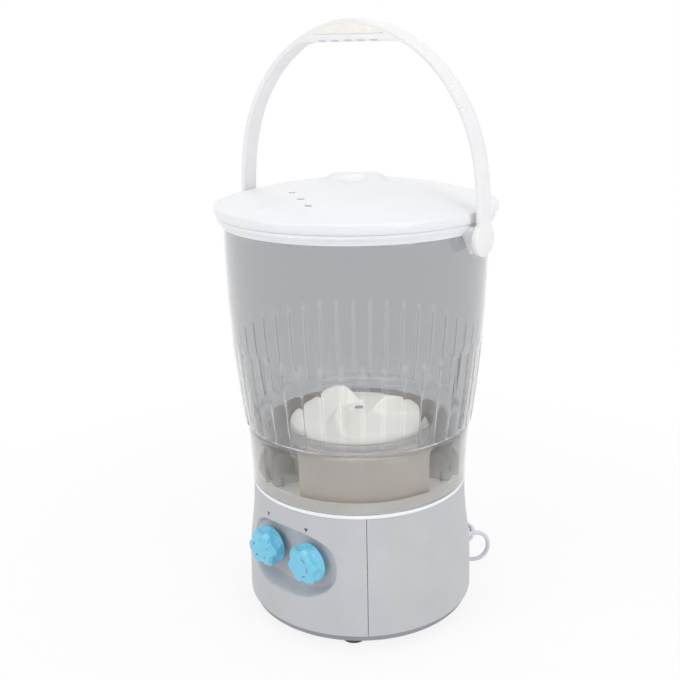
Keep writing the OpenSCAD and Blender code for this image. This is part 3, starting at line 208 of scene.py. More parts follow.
def clear_plastic(name, tint, groove_tint, film, roughness):
    """A tinted see-through plastic, paler along the grooves of the flutes."""
    material = blank(name)
    where = add(material, "TexCoord").outputs["Object"]
    place = add(material, "SeparateXYZ", {"Vector": where})
    forward = value(material, "MULTIPLY", place.outputs["Y"], -1.0)
    turn = value(material, "ARCTAN2", place.outputs["X"], forward)
    turns = value(material, "MULTIPLY", turn, FLUTES / (2 * math.pi))
    turns = value(material, "ADD", turns, 2 * FLUTES - FLUTE_START * FLUTES / 360)
    phase = value(material, "FRACT", turns)
    middle = value(material, "ABSOLUTE", value(material, "SUBTRACT", phase, 0.5))
    groove = add(material, "MapRange", {"Value": middle}, From_Min=STRIPE_EDGES[0],
                 From_Max=STRIPE_EDGES[1])
    low = add(material, "MapRange", {"Value": place.outputs["Z"]}, From_Min=FLUTE_FOOT * MM,
              From_Max=(FLUTE_FOOT + STRIPE_FOOT_FADE) * MM)
    high = add(material, "MapRange", {"Value": place.outputs["Z"]}, From_Min=FLUTE_TOP * MM,
               From_Max=(FLUTE_TOP - STRIPE_TOP_FADE) * MM)
    stripe = value(material, "MULTIPLY", groove.outputs["Result"],
                   value(material, "MULTIPLY", low.outputs["Result"], high.outputs["Result"]))
    colours = add(material, "Mix", {"Factor": stripe}, data_type="RGBA")
    colours.inputs["A"].default_value = linear(tint)
    colours.inputs["B"].default_value = linear(groove_tint)
    drift = add(material, "TexNoise", {"Vector": where}, Scale=1000 / GLOSS_MM, Detail=2.0)
    gloss = add(material, "MapRange", {"Value": drift.outputs["Fac"]}, To_Min=roughness * 0.7,
                To_Max=roughness * 1.3)
    flow = add(material, "TexNoise", {"Vector": where}, Scale=1000 / FLOW_MM, Detail=1.0)
    bump = add(material, "Bump", {"Height": flow.outputs["Fac"]}, Strength=0.15,
               Distance=FLOW_DEPTH * MM)
    glass = add(material, "BsdfPrincipled", {"Base Color": colours.outputs["Result"],
                "Roughness": gloss.outputs["Result"], "Normal": bump.outputs["Normal"]}, IOR=TUB_IOR)
    glass.inputs["Transmission Weight"].default_value = 1.0
    glass.inputs["Coat Weight"].default_value = 1.0
    glass.inputs["Coat IOR"].default_value = COAT_IOR
    glass.inputs["Coat Roughness"].default_value = COAT_ROUGHNESS
    lit = add(material, "BsdfTransparent", Color=linear(film))
    surface = add(material, "MixShader", {"Fac": add(material, "LightPath").outputs["Is Shadow Ray"],
                  1: glass.outputs["BSDF"], 2: lit.outputs["BSDF"]})
    add(material, "OutputMaterial", {"Surface": surface.outputs["Shader"]})
    return material


TUB_PLASTIC = clear_plastic("smoky_clear_abs", "#cdced0", "#d9dad9", "#ffffff", 0.05)

# %% [markdown]
# ## Making a piece
# Every new piece is a bmesh, drawn in millimetres. One function finishes them all: it merges
# doubles, points the faces outwards, scales the mesh to metres, smooths its shading up to a fold
# angle, gives it its material, and hangs it on the body that carries it.

# %% From a bmesh to a piece of the machine
MERGE = 0.01


def piece(name, bm, material, body, replaces=(), fold=35, flat=False):
    """Makes an object of a bmesh in millimetres, which rides on a body and stands for CAD nodes."""
    bmesh.ops.remove_doubles(bm, verts=bm.verts, dist=MERGE)
    bmesh.ops.recalc_face_normals(bm, faces=bm.faces)
    bmesh.ops.scale(bm, vec=(MM, MM, MM), verts=bm.verts)
    for face in bm.faces:
        face.smooth = not flat
    for edge in bm.edges:
        edge.smooth = len(edge.link_faces) == 2 and edge.calc_face_angle(0) < math.radians(fold)
    mesh = bpy.data.meshes.new(name)
    bm.to_mesh(mesh)
    bm.free()
    obj = stand(name, mesh)
    obj.data.materials.append(material)
    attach(obj, body)
    if replaces:
        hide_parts(*replaces)
    print(name, "faces:", len(mesh.polygons))
    return obj


def lathe(points, steps, closed=False, turn=360, start=0):
    """A bmesh of an outline of (radius, height), spun about the Z axis."""
    bm = bmesh.new()
    verts = [bm.verts.new((r, 0, z)) for r, z in points]
    pairs = list(zip(verts, verts[1:])) + ([(verts[-1], verts[0])] if closed else [])
    edges = [bm.edges.new(p) for p in pairs]
    bmesh.ops.transform(bm, verts=verts, matrix=turned(start, "Z"))
    bmesh.ops.spin(bm, geom=verts + edges, cent=(0, 0, 0), axis=(0, 0, 1), angle=math.radians(turn),
                   steps=steps, use_merge=turn == 360)
    bmesh.ops.remove_doubles(bm, verts=bm.verts, dist=0.005)
    return bm


def move(bm, matrix):
    """Moves and turns a whole bmesh."""
    bmesh.ops.transform(bm, verts=bm.verts, matrix=matrix)


def box(bm, place, size):
    """Adds a box of a size at a place, and returns its vertices."""
    verts = bmesh.ops.create_cube(bm, size=1)["verts"]
    bmesh.ops.transform(bm, matrix=place @ Matrix.Diagonal((*size, 1)), verts=verts)
    return verts


def soften(bm, edges, offset, segments):
    """Rounds off edges."""
    bmesh.ops.bevel(bm, geom=edges, offset=offset, segments=segments, profile=0.5, affect="EDGES",
                    material=-1)


def thicken(bm, points, step):
    """Fills a flat outline and extrudes it by a step. Returns the vertices of both its ends."""
    face = bm.faces.new([bm.verts.new(p) for p in points])
    near = list(face.verts)
    moved = bmesh.ops.extrude_face_region(bm, geom=[face])["geom"]
    far = [g for g in moved if isinstance(g, bmesh.types.BMVert)]
    bmesh.ops.translate(bm, vec=step, verts=far)
    return far + near


def ease(t):
    """A smooth step from 0 to 1."""
    t = min(1.0, max(0.0, t))
    return t * t * (3 - 2 * t)


def between(a, b, count):
    """count + 1 even steps from a to b."""
    return [a + (b - a) * i / count for i in range(count + 1)]


def polar(radius, angle, z=0.0):
    """A point at an angle from the front, in degrees."""
    a = math.radians(angle)
    return Vector((radius * math.sin(a), -radius * math.cos(a), z))


# %% [markdown]
# ## The base
# The base is a round shell that draws in at a soft shoulder. Its front is a separate panel, so a
# hairline seam runs up each side of it. Both are spun from one outline: the shell round the back,
# and the panel round the front.

# %% The outline of the base
SHELL_LOW, SHELL_TOP = 20.0, 164.6
SHELL_HIGH = SHELL_TOP - SHELL_LOW
SHELL_RADIUS, SHELL_DRAFT, SHELL_WALL = 139.0, 2.2, 3.0
SHOULDER_LOW, SHOULDER_HIGH, SHOULDER_DRAW = 40, 90, 6.6
PANEL_HALF = 45.0
# The front is turned a little out of square with the handle.
FRONT_TURN = -3.2
FLANGE_RADIUS = 115.0


def base_radius(h):
    """The shell's outer radius at a height above its lower edge."""
    share = min(1, max(0, (h - SHOULDER_LOW) / SHOULDER_HIGH))
    draw = SHOULDER_DRAW * (0.5 - 0.5 * math.cos(math.pi * share))
    return SHELL_RADIUS - SHELL_DRAFT * h / SHELL_HIGH - draw


def shell_outline(rows):
    """The shell's closed outline: up outside, in over the flange, and down inside."""
    heights = between(0, SHELL_HIGH, rows)
    outside = [(base_radius(h), SHELL_LOW + h) for h in heights[:-1]]
    shoulder = [(base_radius(SHELL_HIGH - 0.8), SHELL_TOP - 0.4), (base_radius(SHELL_HIGH) - 0.6, SHELL_TOP)]
    flange = [(FLANGE_RADIUS, SHELL_TOP), (FLANGE_RADIUS, SHELL_TOP - SHELL_WALL)]
    under = [h for h in heights[::-1] if h <= SHELL_HIGH - SHELL_WALL - 0.1]
    inside = [(base_radius(h) - SHELL_WALL, SHELL_LOW + h) for h in under]
    return outside + shoulder + flange + inside


def close_ends(bm):
    """Caps the two open ends of a part-turn spin, and softens the corners that they make."""
    rims = [e for e in bm.edges if e.is_boundary]
    bmesh.ops.holes_fill(bm, edges=rims)
    soften(bm, rims, 0.35, 2)


SEAM = 0.12
shell = lathe(shell_outline(48), 138, True, 360 - 2 * PANEL_HALF - 2 * SEAM,
              PANEL_HALF + SEAM - 90 + FRONT_TURN)
close_ends(shell)
piece("base_shell_skin", shell, GREY_ABS, "machine", ["base_shell"])

# %% [markdown]
# The panel carries an oval dish for the two knobs. Its walls are soft slopes, so the dish is not
# cut: each vertex inside the oval is pushed back towards a flat floor by a smooth step. The same
# push moves the inner skin, so the wall keeps its thickness.

# %% The front panel and its dish
DISH_HALF = (70.0, 41.0)
DISH_HEIGHT = 100.0
DISH_FLOOR = -115.0
DISH_SLOPE = 7.0
DISH_WALL = 2.4
OVAL_POWER = 2.4


def dish_depth(x, z):
    """How far a point of the panel belongs to the dish: 0 outside it, 1 on its floor."""
    z -= DISH_HEIGHT
    size = (abs(x / DISH_HALF[0]) ** OVAL_POWER + abs(z / DISH_HALF[1]) ** OVAL_POWER) ** (1 / OVAL_POWER)
    return 1.0 if size < 0.01 else ease(math.hypot(x, z) * (1 / size - 1) / DISH_SLOPE)


panel = lathe(shell_outline(112), 168, True, 2 * PANEL_HALF - 2 * SEAM, -90 - PANEL_HALF + SEAM)
for vert in panel.verts:
    if SHELL_LOW + 4 < vert.co.z < SHELL_TOP - 3:
        h = vert.co.z - SHELL_LOW
        inner = math.hypot(vert.co.x, vert.co.y) < base_radius(h) - 1
        floor = DISH_FLOOR + (DISH_WALL if inner else 0.0)
        if vert.co.y < floor:
            vert.co.y += (floor - vert.co.y) * dish_depth(vert.co.x, vert.co.z)
close_ends(panel)
move(panel, turned(FRONT_TURN, "Z"))
piece("control_panel_skin", panel, GREY_ABS, "machine", ["control_panel"], fold=50)

# %% [markdown]
# Above each knob the panel has a small printed triangle that points down at the dial. A print is
# a film of ink, so each triangle is a sliver of a prism that lies on the panel.

# %% The pointer triangles
PANEL_LEAN = 86


def triangle(angle, z, half=2.7, high=5.0, thick=0.5):
    """A printed triangle that points down, on the panel's face."""
    bm = bmesh.new()
    corners = [(-half, high / 2), (half, high / 2), (0, -high / 2)]
    thicken(bm, [(x, y, -thick / 2) for x, y in corners], (0, 0, thick))
    foot = at(*polar(base_radius(z - SHELL_LOW) - 0.1, angle, z))
    move(bm, foot @ turned(angle, "Z") @ turned(PANEL_LEAN, "X"))
    return bm


for name, angle, z in (("pointer_timer", -16.8, 145.0), ("pointer_selector", 10.4, 144.0)):
    piece(name, triangle(angle, z), PRINT_INK, "machine", flat=True)

# %% [markdown]
# ## The trim ring
# A thin white ring sits between the base and the tub. Its outer corners are rounded, and that
# small round is what draws the bright line in the photograph.

# %% The trim ring
TRIM_OUT, TRIM_IN, TRIM_TOP = 130.7, 127.2, 169.7
ring = lathe([(TRIM_IN, SHELL_TOP), (TRIM_OUT, SHELL_TOP), (TRIM_OUT, TRIM_TOP), (TRIM_IN, TRIM_TOP)],
             192, True)
corners = [e for e in ring.edges if all(math.hypot(v.co.x, v.co.y) > TRIM_OUT - 0.1 for v in e.verts)
           and abs(e.verts[0].co.z - e.verts[1].co.z) < 0.01]
soften(ring, corners, 1.1, 4)
piece("trim_ring_round", ring, RING_ABS, "machine", ["trim_ring"])

# %% [markdown]
# ## The tub
# The tub is one clear moulding. Forty shallow flutes stand round its lower half, with narrow
# grooves between them, round heads at the top and scalloped feet on the ledge. It is spun as a
# plain closed outline. Its columns of vertices are then gathered towards the grooves, and the
# flutes are pressed in, a little deeper into the outer face than into the inner one.

# %% The tub's walls
TUB_RADIUS, LEDGE_RADIUS = 152.5, 137.6
LEDGE, BAND = 245.7, 479.2
TUB_WALL = 2.4
SKIRT = 131.1
FLOOR, RECESS, TOWER_TOP = 238.7, 222.7, 219.7
RECESS_RADIUS, BORE = 90.0, 13.1
RIM_RADIUS, RIM_TOP = TUB_RADIUS - 1.2, 487.3
WALL_POWER, WALL_INSET = 2.2, 0.4
# The flutes: how far their round heads drop at the grooves, how softly they start, how far their
# faces bow, how deep the grooves are, and the inset of the plain wall from the crests.
HEAD_DROP, HEAD_FADE, BOW, GROOVE, CREST = 7.5, 5, 0.8, 1.2, 0.5


def tub_radius(z):
    """The tub's outer radius over its flutes."""
    return TUB_RADIUS - (TUB_RADIUS - LEDGE_RADIUS) * (max(0, BAND - z) / (BAND - LEDGE)) ** WALL_POWER


def flute_press(angle, z):
    """How far the wall is pressed in at an angle and a height: shallow bows and narrow grooves."""
    t = ((angle - FLUTE_START) * FLUTES / 360) % 1 * 2 - 1
    head = FLUTE_TOP - HEAD_DROP * abs(t) ** 3 - z
    bow = BOW * t * t + GROOVE * abs(t) ** 12
    return ease(head / HEAD_FADE) * (bow - CREST)


wall_rows = between(LEDGE, 340, 26) + between(340, 360, 16)[1:] + between(360, BAND, 20)[1:]
tub_outside = [(SKIRT, 169.7), (SKIRT, 184.7), (SKIRT + 0.3, 198), (SKIRT + 1.2, 211.7), (SKIRT + 2.0, 222),
               (SKIRT + 3.1, 232.7), (SKIRT + 3.2, 240.5), (SKIRT + 2.6, 244.2), (SKIRT + 3.2, 245.0)]
tub_outside += [(tub_radius(z) - WALL_INSET, z) for z in wall_rows]
tub_outside += [(RIM_RADIUS, BAND + 0.2), (RIM_RADIUS, RIM_TOP)]
tub_inside = [(RIM_RADIUS - TUB_WALL, RIM_TOP)]
tub_inside += [(tub_radius(z) - WALL_INSET - TUB_WALL, z) for z in wall_rows[::-1]]
tub_inside += [(LEDGE_RADIUS - 3.6, 243), (LEDGE_RADIUS - 7, 239.6), (LEDGE_RADIUS - 10, FLOOR)]
tub_inside += [(RECESS_RADIUS + 1, FLOOR), (RECESS_RADIUS, FLOOR - 1), (RECESS_RADIUS, RECESS + 2),
               (RECESS_RADIUS - 2, RECESS), (50, RECESS), (BORE, RECESS)]
tub_under = [(BORE, TOWER_TOP), (50, TOWER_TOP), (RECESS_RADIUS, TOWER_TOP)]
tub_under += [(RECESS_RADIUS + TUB_WALL, TOWER_TOP + TUB_WALL), (RECESS_RADIUS + TUB_WALL, 234.7),
              (RECESS_RADIUS + 4, 235.7), (SKIRT - 1, 235.7), (SKIRT + 0.5, 234.2), (SKIRT + 0.5, 230),
              (SKIRT - 0.8, 212), (SKIRT - 2.2, 198), (SKIRT - TUB_WALL, 184.7), (SKIRT - TUB_WALL, 169.7)]
GATHER, INNER_SHARE = 1.7, 0.85
tub = lathe(tub_outside + tub_inside + tub_under, FLUTES * 12, True, start=FLUTE_START - 90)
for vert in tub.verts:
    reach = math.hypot(vert.co.x, vert.co.y)
    angle = math.degrees(math.atan2(vert.co.x, -vert.co.y))
    column = (angle - FLUTE_START) * FLUTES / 360
    t = column % 1 * 2 - 1
    gathered = math.copysign(1 - (1 - abs(t)) ** GATHER, t)
    angle = ((column // 1 + (gathered + 1) / 2) * 360 / FLUTES) + FLUTE_START
    if vert.co.z > LEDGE - 1 and reach > 120:
        inner = reach < tub_radius(vert.co.z) - 1.5
        reach -= flute_press(angle, vert.co.z) * (INNER_SHARE if inner else 1)
    vert.co = polar(reach, angle, vert.co.z)
piece("wash_tub_clear", tub, TUB_PLASTIC, "machine", ["wash_tub"], fold=60)

# %% [markdown]
# Under the floor three webs stand between the tower and the skirt. They are part of the same
# moulding, so they take the same plastic.

# %% The webs under the tub
WEB, WEB_ANGLES = 2.5, (-18, 102, 222)
web_outline = [(81.5, 175), (121, 175), (122, 184), (129, 184), (130.2, 212), (131.2, 234.5), (93.5, 234.5),
               (93.5, 221), (86.5, 221)]
webs = bmesh.new()
for angle in WEB_ANGLES:
    near = [polar(r, angle, z) + polar(WEB / 2, angle + 90) for r, z in web_outline]
    thicken(webs, near, polar(WEB, angle - 90))
piece("wash_tub_webs", webs, TUB_PLASTIC, "machine")

# %% [markdown]
# Between the webs a curved wall stands round the tower. It leaves a niche at each web, where a
# screw comes up out of the deck and holds the tub. A thin dark ring at its foot is painted shade
# for the shadow in the gap above the deck, and through the skirt it is what shows most.

# %% The wall round the tower
DRUM, DRUM_WALL, DRUM_LOW, DRUM_HIGH = 113.5, 2.0, 173.3, 235.0
DRUM_INNER, DRUM_SPANS = DRUM - DRUM_WALL, ((1, 84), (117, 196), (237, 330))
drum_wall = [(DRUM - 1.0, DRUM_LOW), (DRUM - 0.6, DRUM_LOW + 1), (DRUM, DRUM_HIGH), (DRUM_INNER, DRUM_HIGH),
             (DRUM_INNER - 0.6, DRUM_LOW + 1), (DRUM_INNER - 1.0, DRUM_LOW)]
# The foot ring is a thin dark ring of painted shade for the shadow gap under the wall.
drum_foot_shade = [(DRUM - 1.2, 173.1), (DRUM + 0.4, 173.1), (DRUM + 0.1, 174.0), (DRUM - 0.9, 174.0)]
for start, end in DRUM_SPANS:
    for name, points, material in (("wash_tub_wall", drum_wall, SMOKED_CREAM),
                                   ("wash_tub_wall_foot_painted_shade", drum_foot_shade, FOOT_RUBBER_AND_SHADE)):
        part = lathe(points, end - start, True, end - start, start - 90)
        close_ends(part)
        piece(f"{name}_{start}", part, material, "machine")

# %% [markdown]
# ## The rim band
# A white band clips over the tub's edge. It flares outwards, carries three fine ridges that help a
# wet hand, and has an ear at each side for the handle's pivot.

# %% The band and its ears
BAND_TOP = 490.5
BAND_INNER = 151.6
RIDGE, RIDGE_HALF = 0.8, 0.08
FACE_FOOT, FACE_FLARE = (153.9, 480.7), (4.6, 7.3)


def band_face(t):
    """A point of the band's flared face."""
    return (FACE_FOOT[0] + FACE_FLARE[0] * t, FACE_FOOT[1] + FACE_FLARE[1] * t)


face_line = [band_face(0)]
for t in (0.5, 0.7, 0.9):
    (r0, z0), (r1, z1), (r2, z2) = [band_face(t + side * RIDGE_HALF) for side in (-1, 0, 1)]
    face_line += [(r0, z0), (r1 + RIDGE * 0.7, z1 - RIDGE), (r1 + RIDGE, z1 - RIDGE * 0.4), (r2, z2)]
band = lathe([(BAND_INNER, BAND), (153.1, BAND)] + face_line
             + [(158.4, 487.9), (158.6, 488.6), (158.6, 489.8), (157.9, BAND_TOP), (148.6, BAND_TOP),
                (148.6, 487.9), (BAND_INNER, 487.9)], 224, True)
PIVOT_HEIGHT = 475.0
EAR_HALF = 14.0
ear_outline = [(152.8, 477.2), (161.5, 460), (165.2, 462), (165.5, 486.5), (163.5, 488.4), (153.5, 488.4)]
for side in (1, -1):
    near = [(side * x, -EAR_HALF, z) for x, z in ear_outline]
    ear = {e for v in thicken(band, near, (0, 2 * EAR_HALF, 0)) for e in v.link_edges}
    soften(band, list(ear), 1.2, 3)
piece("rim_band_ridged", band, WHITE_ABS, "machine", ["rim_band"])

# %% [markdown]
# ## The lid
# The lid is a thin dome with a rolled rim. Its middle rises into a grip, and two finger scoops
# from opposite sides leave an S-shaped bar between them. The dome is spun, and the grip is a
# height that is added to each vertex near the middle. The vents and the notches that clear the
# handle go right through, so they are cut afterwards.

# %% The lid
LID_SEAT, LID_EDGE, LID_WALL = 490.7, 158.0, 2.5
DOME_LOW, DOME_RISE = 12.0, 23.0
GRIP_TURN, GRIP_RISE, GRIP_RADIUS, GRIP_FADE = math.radians(52), 8.0, 24, 20
# A finger scoop: its place from the middle, its stretch, its reach, and the share that it takes away.
DIP_U, DIP_V, DIP_STRETCH, DIP_REACH, DIP_SHARE = 9, 23, 1.5, 17, 0.95


def dome(r):
    """The height of the lid's dome."""
    return LID_SEAT + DOME_LOW + DOME_RISE * (1 - (r / LID_EDGE) ** 2)


def grip_height(x, y):
    """The height of the grip above the dome."""
    u = x * math.cos(GRIP_TURN) + y * math.sin(GRIP_TURN)
    v = -x * math.sin(GRIP_TURN) + y * math.cos(GRIP_TURN)
    rise = GRIP_RISE * (1 - ease((math.hypot(x, y) - GRIP_RADIUS) / GRIP_FADE))
    away = min(math.hypot((u - s * DIP_U) / DIP_STRETCH, v - s * DIP_V) for s in (1, -1))
    return rise * (1 - DIP_SHARE * ease(1.25 - away / DIP_REACH))


lid_rim = [(157.2, 502.9), (159.4, 502.6), (160.9, 502.1), (161.7, 501.3), (162.0, 500.2), (162.0, 494.8),
           (161.6, 493.7), (160.2, 491.7), (159.5, 491.0), (158.6, 490.7), (157.0, 490.9), (155.5, 491.6),
           (154.0, 490.9), (147.6, 490.7), (147.6, 486.2), (147.1, 485.7), (145.8, 485.7), (145.3, 486.2)]
lid_top = [(r, dome(r)) for r in between(0, 156, 78)]
lid_under = [(r, dome(r) - LID_WALL) for r in between(143, 0, 20)]
lid = lathe(lid_top + lid_rim + lid_under, 192)
for vert in lid.verts:
    if vert.co.z > dome(math.hypot(vert.co.x, vert.co.y)) - 1:
        vert.co.z += grip_height(vert.co.x, vert.co.y)
lid_piece = piece("lid_domed", lid, WHITE_ABS, "lid", ["lid"])

# %% [markdown]
# A boolean modifier makes each cut, and its result becomes the mesh, so that nothing stays live.

# %% The lid's vents and notches
def cut(target, bm):
    """Cuts a bmesh in millimetres out of a piece, and keeps the result as the piece's mesh."""
    bmesh.ops.scale(bm, vec=(MM, MM, MM), verts=bm.verts)
    mesh = bpy.data.meshes.new("cutter")
    bm.to_mesh(mesh)
    bm.free()
    cutter = stand("cutter", mesh)
    knife = target.modifiers.new("cut", "BOOLEAN")
    knife.operation, knife.object, knife.solver = "DIFFERENCE", cutter, "EXACT"
    bpy.context.view_layer.update()
    result = bpy.data.meshes.new_from_object(target.evaluated_get(bpy.context.evaluated_depsgraph_get()))
    target.modifiers.remove(knife)
    target.data = result
    bpy.data.objects.remove(cutter)
    print(target.name, "after its cuts:", len(result.polygons))


VENTS, VENT_TURN = ((-23, -82), (5, -99.6), (27.5, -113.6)), 12
VENT_SIZE, SHADE_SIZE, SHADE_LOW = (8.8, 3.6, 30), (8.7, 3.5, 0.6), 1.1
NOTCH_AT, NOTCH_SIZE = 169.5, (20, 31, 60)


def vent_boxes(bm, size, low):
    """Puts a turned box at each vent, with its middle lower than the dome by low."""
    for x, y in VENTS:
        middle = at(x, y, dome(math.hypot(x, y)) - low)
        box(bm, middle @ turned(VENT_TURN, "Z"), size)
    return bm


cutters = vent_boxes(bmesh.new(), VENT_SIZE, 0)
for side in (1, -1):
    notch = box(cutters, at(side * NOTCH_AT, 0, 500), NOTCH_SIZE)
    upright = [e for e in cutters.edges if abs(e.verts[0].co.z - e.verts[1].co.z) > 50
               and e.verts[0] in notch and abs(e.verts[0].co.x) < 162]
    soften(cutters, upright, 1.5, 4)
cut(lid_piece, cutters)
# A thin dark piece in each vent is painted shade for the shadow inside it, which the eye sees as a dash.
piece("lid_vent_painted_shade", vent_boxes(bmesh.new(), SHADE_SIZE, SHADE_LOW), FOOT_RUBBER_AND_SHADE, "lid", ["lid"])

# %% [markdown]
# ## The bail handle
# The bail is a flat band bent over the tub. Its outer face has a shallow channel between two lips,
# which is how such a band is moulded light and stiff. The section is drawn once and extruded from
# step to step along the arch, and each step reaches from the band's inner arch to its outer one.

# %% The arch
# The sides run nearly straight and the top is narrow, so the width and the rise follow two powers.
WIDTH_POWER, RISE_POWER = 1.73, 2.77
BAIL_HALF, BAIL_RISE, BAIL_THICK, BAIL_WIDE = 173.0, 225.0, 6.0, 21.4


def arch_point(a, inset=0.0):
    """A point of the arch at an angle of 0 to pi, inset from the bail's outer face."""
    c, s = math.cos(a), math.sin(a)
    return Vector(((BAIL_HALF - inset) * math.copysign(abs(c) ** (2 / WIDTH_POWER), c), 0,
                   PIVOT_HEIGHT + (BAIL_RISE - inset) * max(0.0, s) ** (2 / RISE_POWER)))


HALF = BAIL_WIDE / 2
section = [(0.8, -HALF), (5.2, -HALF), (5.8, -HALF + 0.4), (6, -HALF + 1), (6, -8.4), (5.7, -7.8),
           (5.1, -7.5), (5.1, 7.5), (5.7, 7.8), (6, 8.4), (6, HALF - 1), (5.8, HALF - 0.4), (5.2, HALF),
           (0.8, HALF), (0.2, HALF - 0.4), (0, HALF - 1), (0, -HALF + 1), (0.2, -HALF + 0.4)]


def sweep(bm, ring_at, count):
    """Extrudes a ring of points from step to step. ring_at gives the ring's points at a step."""
    ring = [bm.verts.new(p) for p in ring_at(0)]
    pairs = list(zip(range(len(ring)), [*range(1, len(ring)), 0]))
    edges = [bm.edges.new((ring[i], ring[j])) for i, j in pairs]
    bm.faces.new(ring)
    for step in range(1, count + 1):
        made = bmesh.ops.extrude_edge_only(bm, edges=edges)["geom"]
        fresh = {v for v in made if isinstance(v, bmesh.types.BMVert)}
        ring = [next(e.other_vert(v) for e in v.link_edges if e.other_vert(v) in fresh) for v in ring]
        for v, p in zip(ring, ring_at(step)):
            v.co = p
        edges = [next(e for e in ring[i].link_edges if e.other_vert(ring[i]) is ring[j]) for i, j in pairs]
    bm.faces.new(ring[::-1])
    return bm


ARCH_STEPS = 96


def bail_ring(step):
    """The bail's section at a step of the arch."""
    a = math.pi * step / ARCH_STEPS
    outer, inner = arch_point(a), arch_point(a, BAIL_THICK)
    return [inner + (outer - inner) * (n / BAIL_THICK) + Vector((0, y, 0)) for n, y in section]


bail = sweep(bmesh.new(), bail_ring, ARCH_STEPS)

# %% [markdown]
# The bail ends in round bosses that turn on the pivots. The grip is a bar under the top of the
# arch: a flat outline that is extruded to the bail's width and then bevelled.

# %% The bosses and the grip's bar
BOSS, BOSS_START, BOSS_THICK = 18.5, 166.0, 7.0


def pivot_discs(target, points, start):
    """Adds a turned disc to both ends of the pivots' line, at a distance from the middle."""
    for side in (1, -1):
        disc = lathe(points, 96)
        move(disc, at(side * start, 0, PIVOT_HEIGHT) @ turned(side * 90, "Y"))
        held = bpy.data.meshes.new("disc")
        disc.to_mesh(held)
        target.from_mesh(held)
        disc.free()
    return target


pivot_discs(bail, [(0, 0), (BOSS - 0.8, 0), (BOSS, 0.8), (BOSS, 5.4), (BOSS - 0.3, 6.2), (BOSS - 1, 6.7),
                   (BOSS - 2, BOSS_THICK), (0, BOSS_THICK)], BOSS_START)


def plate(points, half, bevel):
    """A flat outline of (x, z) points, extruded to both sides of Y = 0, with soft edges."""
    bm = bmesh.new()
    ends = thicken(bm, [(x, -half, z) for x, z in points], (0, 2 * half, 0))
    rims = {e for v in ends for e in v.link_edges if abs(e.verts[0].co.y - e.verts[1].co.y) < 0.01}
    soften(bm, list(rims), bevel, 3)
    return bm


GRIP_UNDER, GRIP_BAR, INSERT_HALF, EDGE = 675.5, 8.0, 48.0, 0.9
TEETH, TOOTH_PITCH, TOOTH_SIZE = 5, 18.0, (11, 30, 4.4)


def under_arch(x, inset):
    """The height of the arch's inset line above x."""
    share = abs(x / (BAIL_HALF - inset)) ** WIDTH_POWER
    return PIVOT_HEIGHT + (BAIL_RISE - inset) * (1 - share) ** (1 / RISE_POWER)


def top_line(x0, x1, inset, count):
    """Points along the arch's inset line from x0 to x1."""
    return [(x, under_arch(x, inset)) for x in between(x0, x1, count)]


bar = [(-60, GRIP_UNDER), (60, GRIP_UNDER), (66, GRIP_UNDER - 0.6), (72, GRIP_UNDER - 2.4)]
bar += top_line(78, INSERT_HALF, 4.4, 6)
bar += [(INSERT_HALF, GRIP_UNDER + GRIP_BAR), (-INSERT_HALF, GRIP_UNDER + GRIP_BAR)]
bar += top_line(-INSERT_HALF, -78, 4.4, 6) + [(-72, GRIP_UNDER - 2.4), (-66, GRIP_UNDER - 0.6)]
piece("handle_bail_channel", bail, BAIL_ABS, "handle", ["handle_bail"])
bar_piece = piece("handle_grip_bar", plate(bar, HALF, EDGE), BAIL_ABS, "handle", ["handle_bail"])
cutters = bmesh.new()
for i in range(TEETH):
    box(cutters, at((i - (TEETH - 1) / 2) * TOOTH_PITCH, 0, GRIP_UNDER), TOOTH_SIZE)
cut(bar_piece, cutters)

insert = [(-INSERT_HALF + 0.2, GRIP_UNDER + GRIP_BAR), (INSERT_HALF - 0.2, GRIP_UNDER + GRIP_BAR)]
insert += top_line(INSERT_HALF - 0.2, -INSERT_HALF + 0.2, 4.2, 16)
piece("handle_grip_soft", plate(insert, HALF + 0.25, EDGE), GRIP_TPE, "handle", ["handle_grip_insert"])

CAP = BOSS - 3
cap_line = [(0, 0), (CAP, 0), (CAP - 0.15, 0.25), (CAP - 1, 0.5), (CAP - 3, 0.95), (CAP - 6, 1.45),
            (CAP - 10, 1.85), (0, 2)]
caps = pivot_discs(bmesh.new(), cap_line, BOSS_START + BOSS_THICK)
piece("pivot_caps_domed", caps, BAIL_ABS, "handle", ["pivot_caps"])

# %% [markdown]
# ## The knobs
# Each knob has a narrow hub, a thin round flange, six elliptical scoops for the fingers, and a flat
# face with a chamfer round it. A plain turned knob is spun first, and the scoops are pressed in by
# moving its side vertices.

# %% The knobs
KNOB_BACK, KNOB_HEIGHT, KNOB_RADIUS, KNOB_SIDE = -123.0, 103.5, 23.5, 32.5
KNOB_FACE, CHAMFER, HUB_RADIUS, HUB_REACH = 18.0, 4.2, 11.0, 6.0
SCOOPS, SCOOP_WIDTH, SCOOP_MIDDLE, SCOOP_HALF, SCOOP_PRESS = 6, 0.72, 11.5, 9.0, 5.0


def knob_place(x, z=0.0):
    """Where a knob's own upright frame stands: on its axis, z in front of its back."""
    upright = at(x, KNOB_BACK - z, KNOB_HEIGHT) @ turned(90, "X")
    return turned(FRONT_TURN, "Z") @ upright


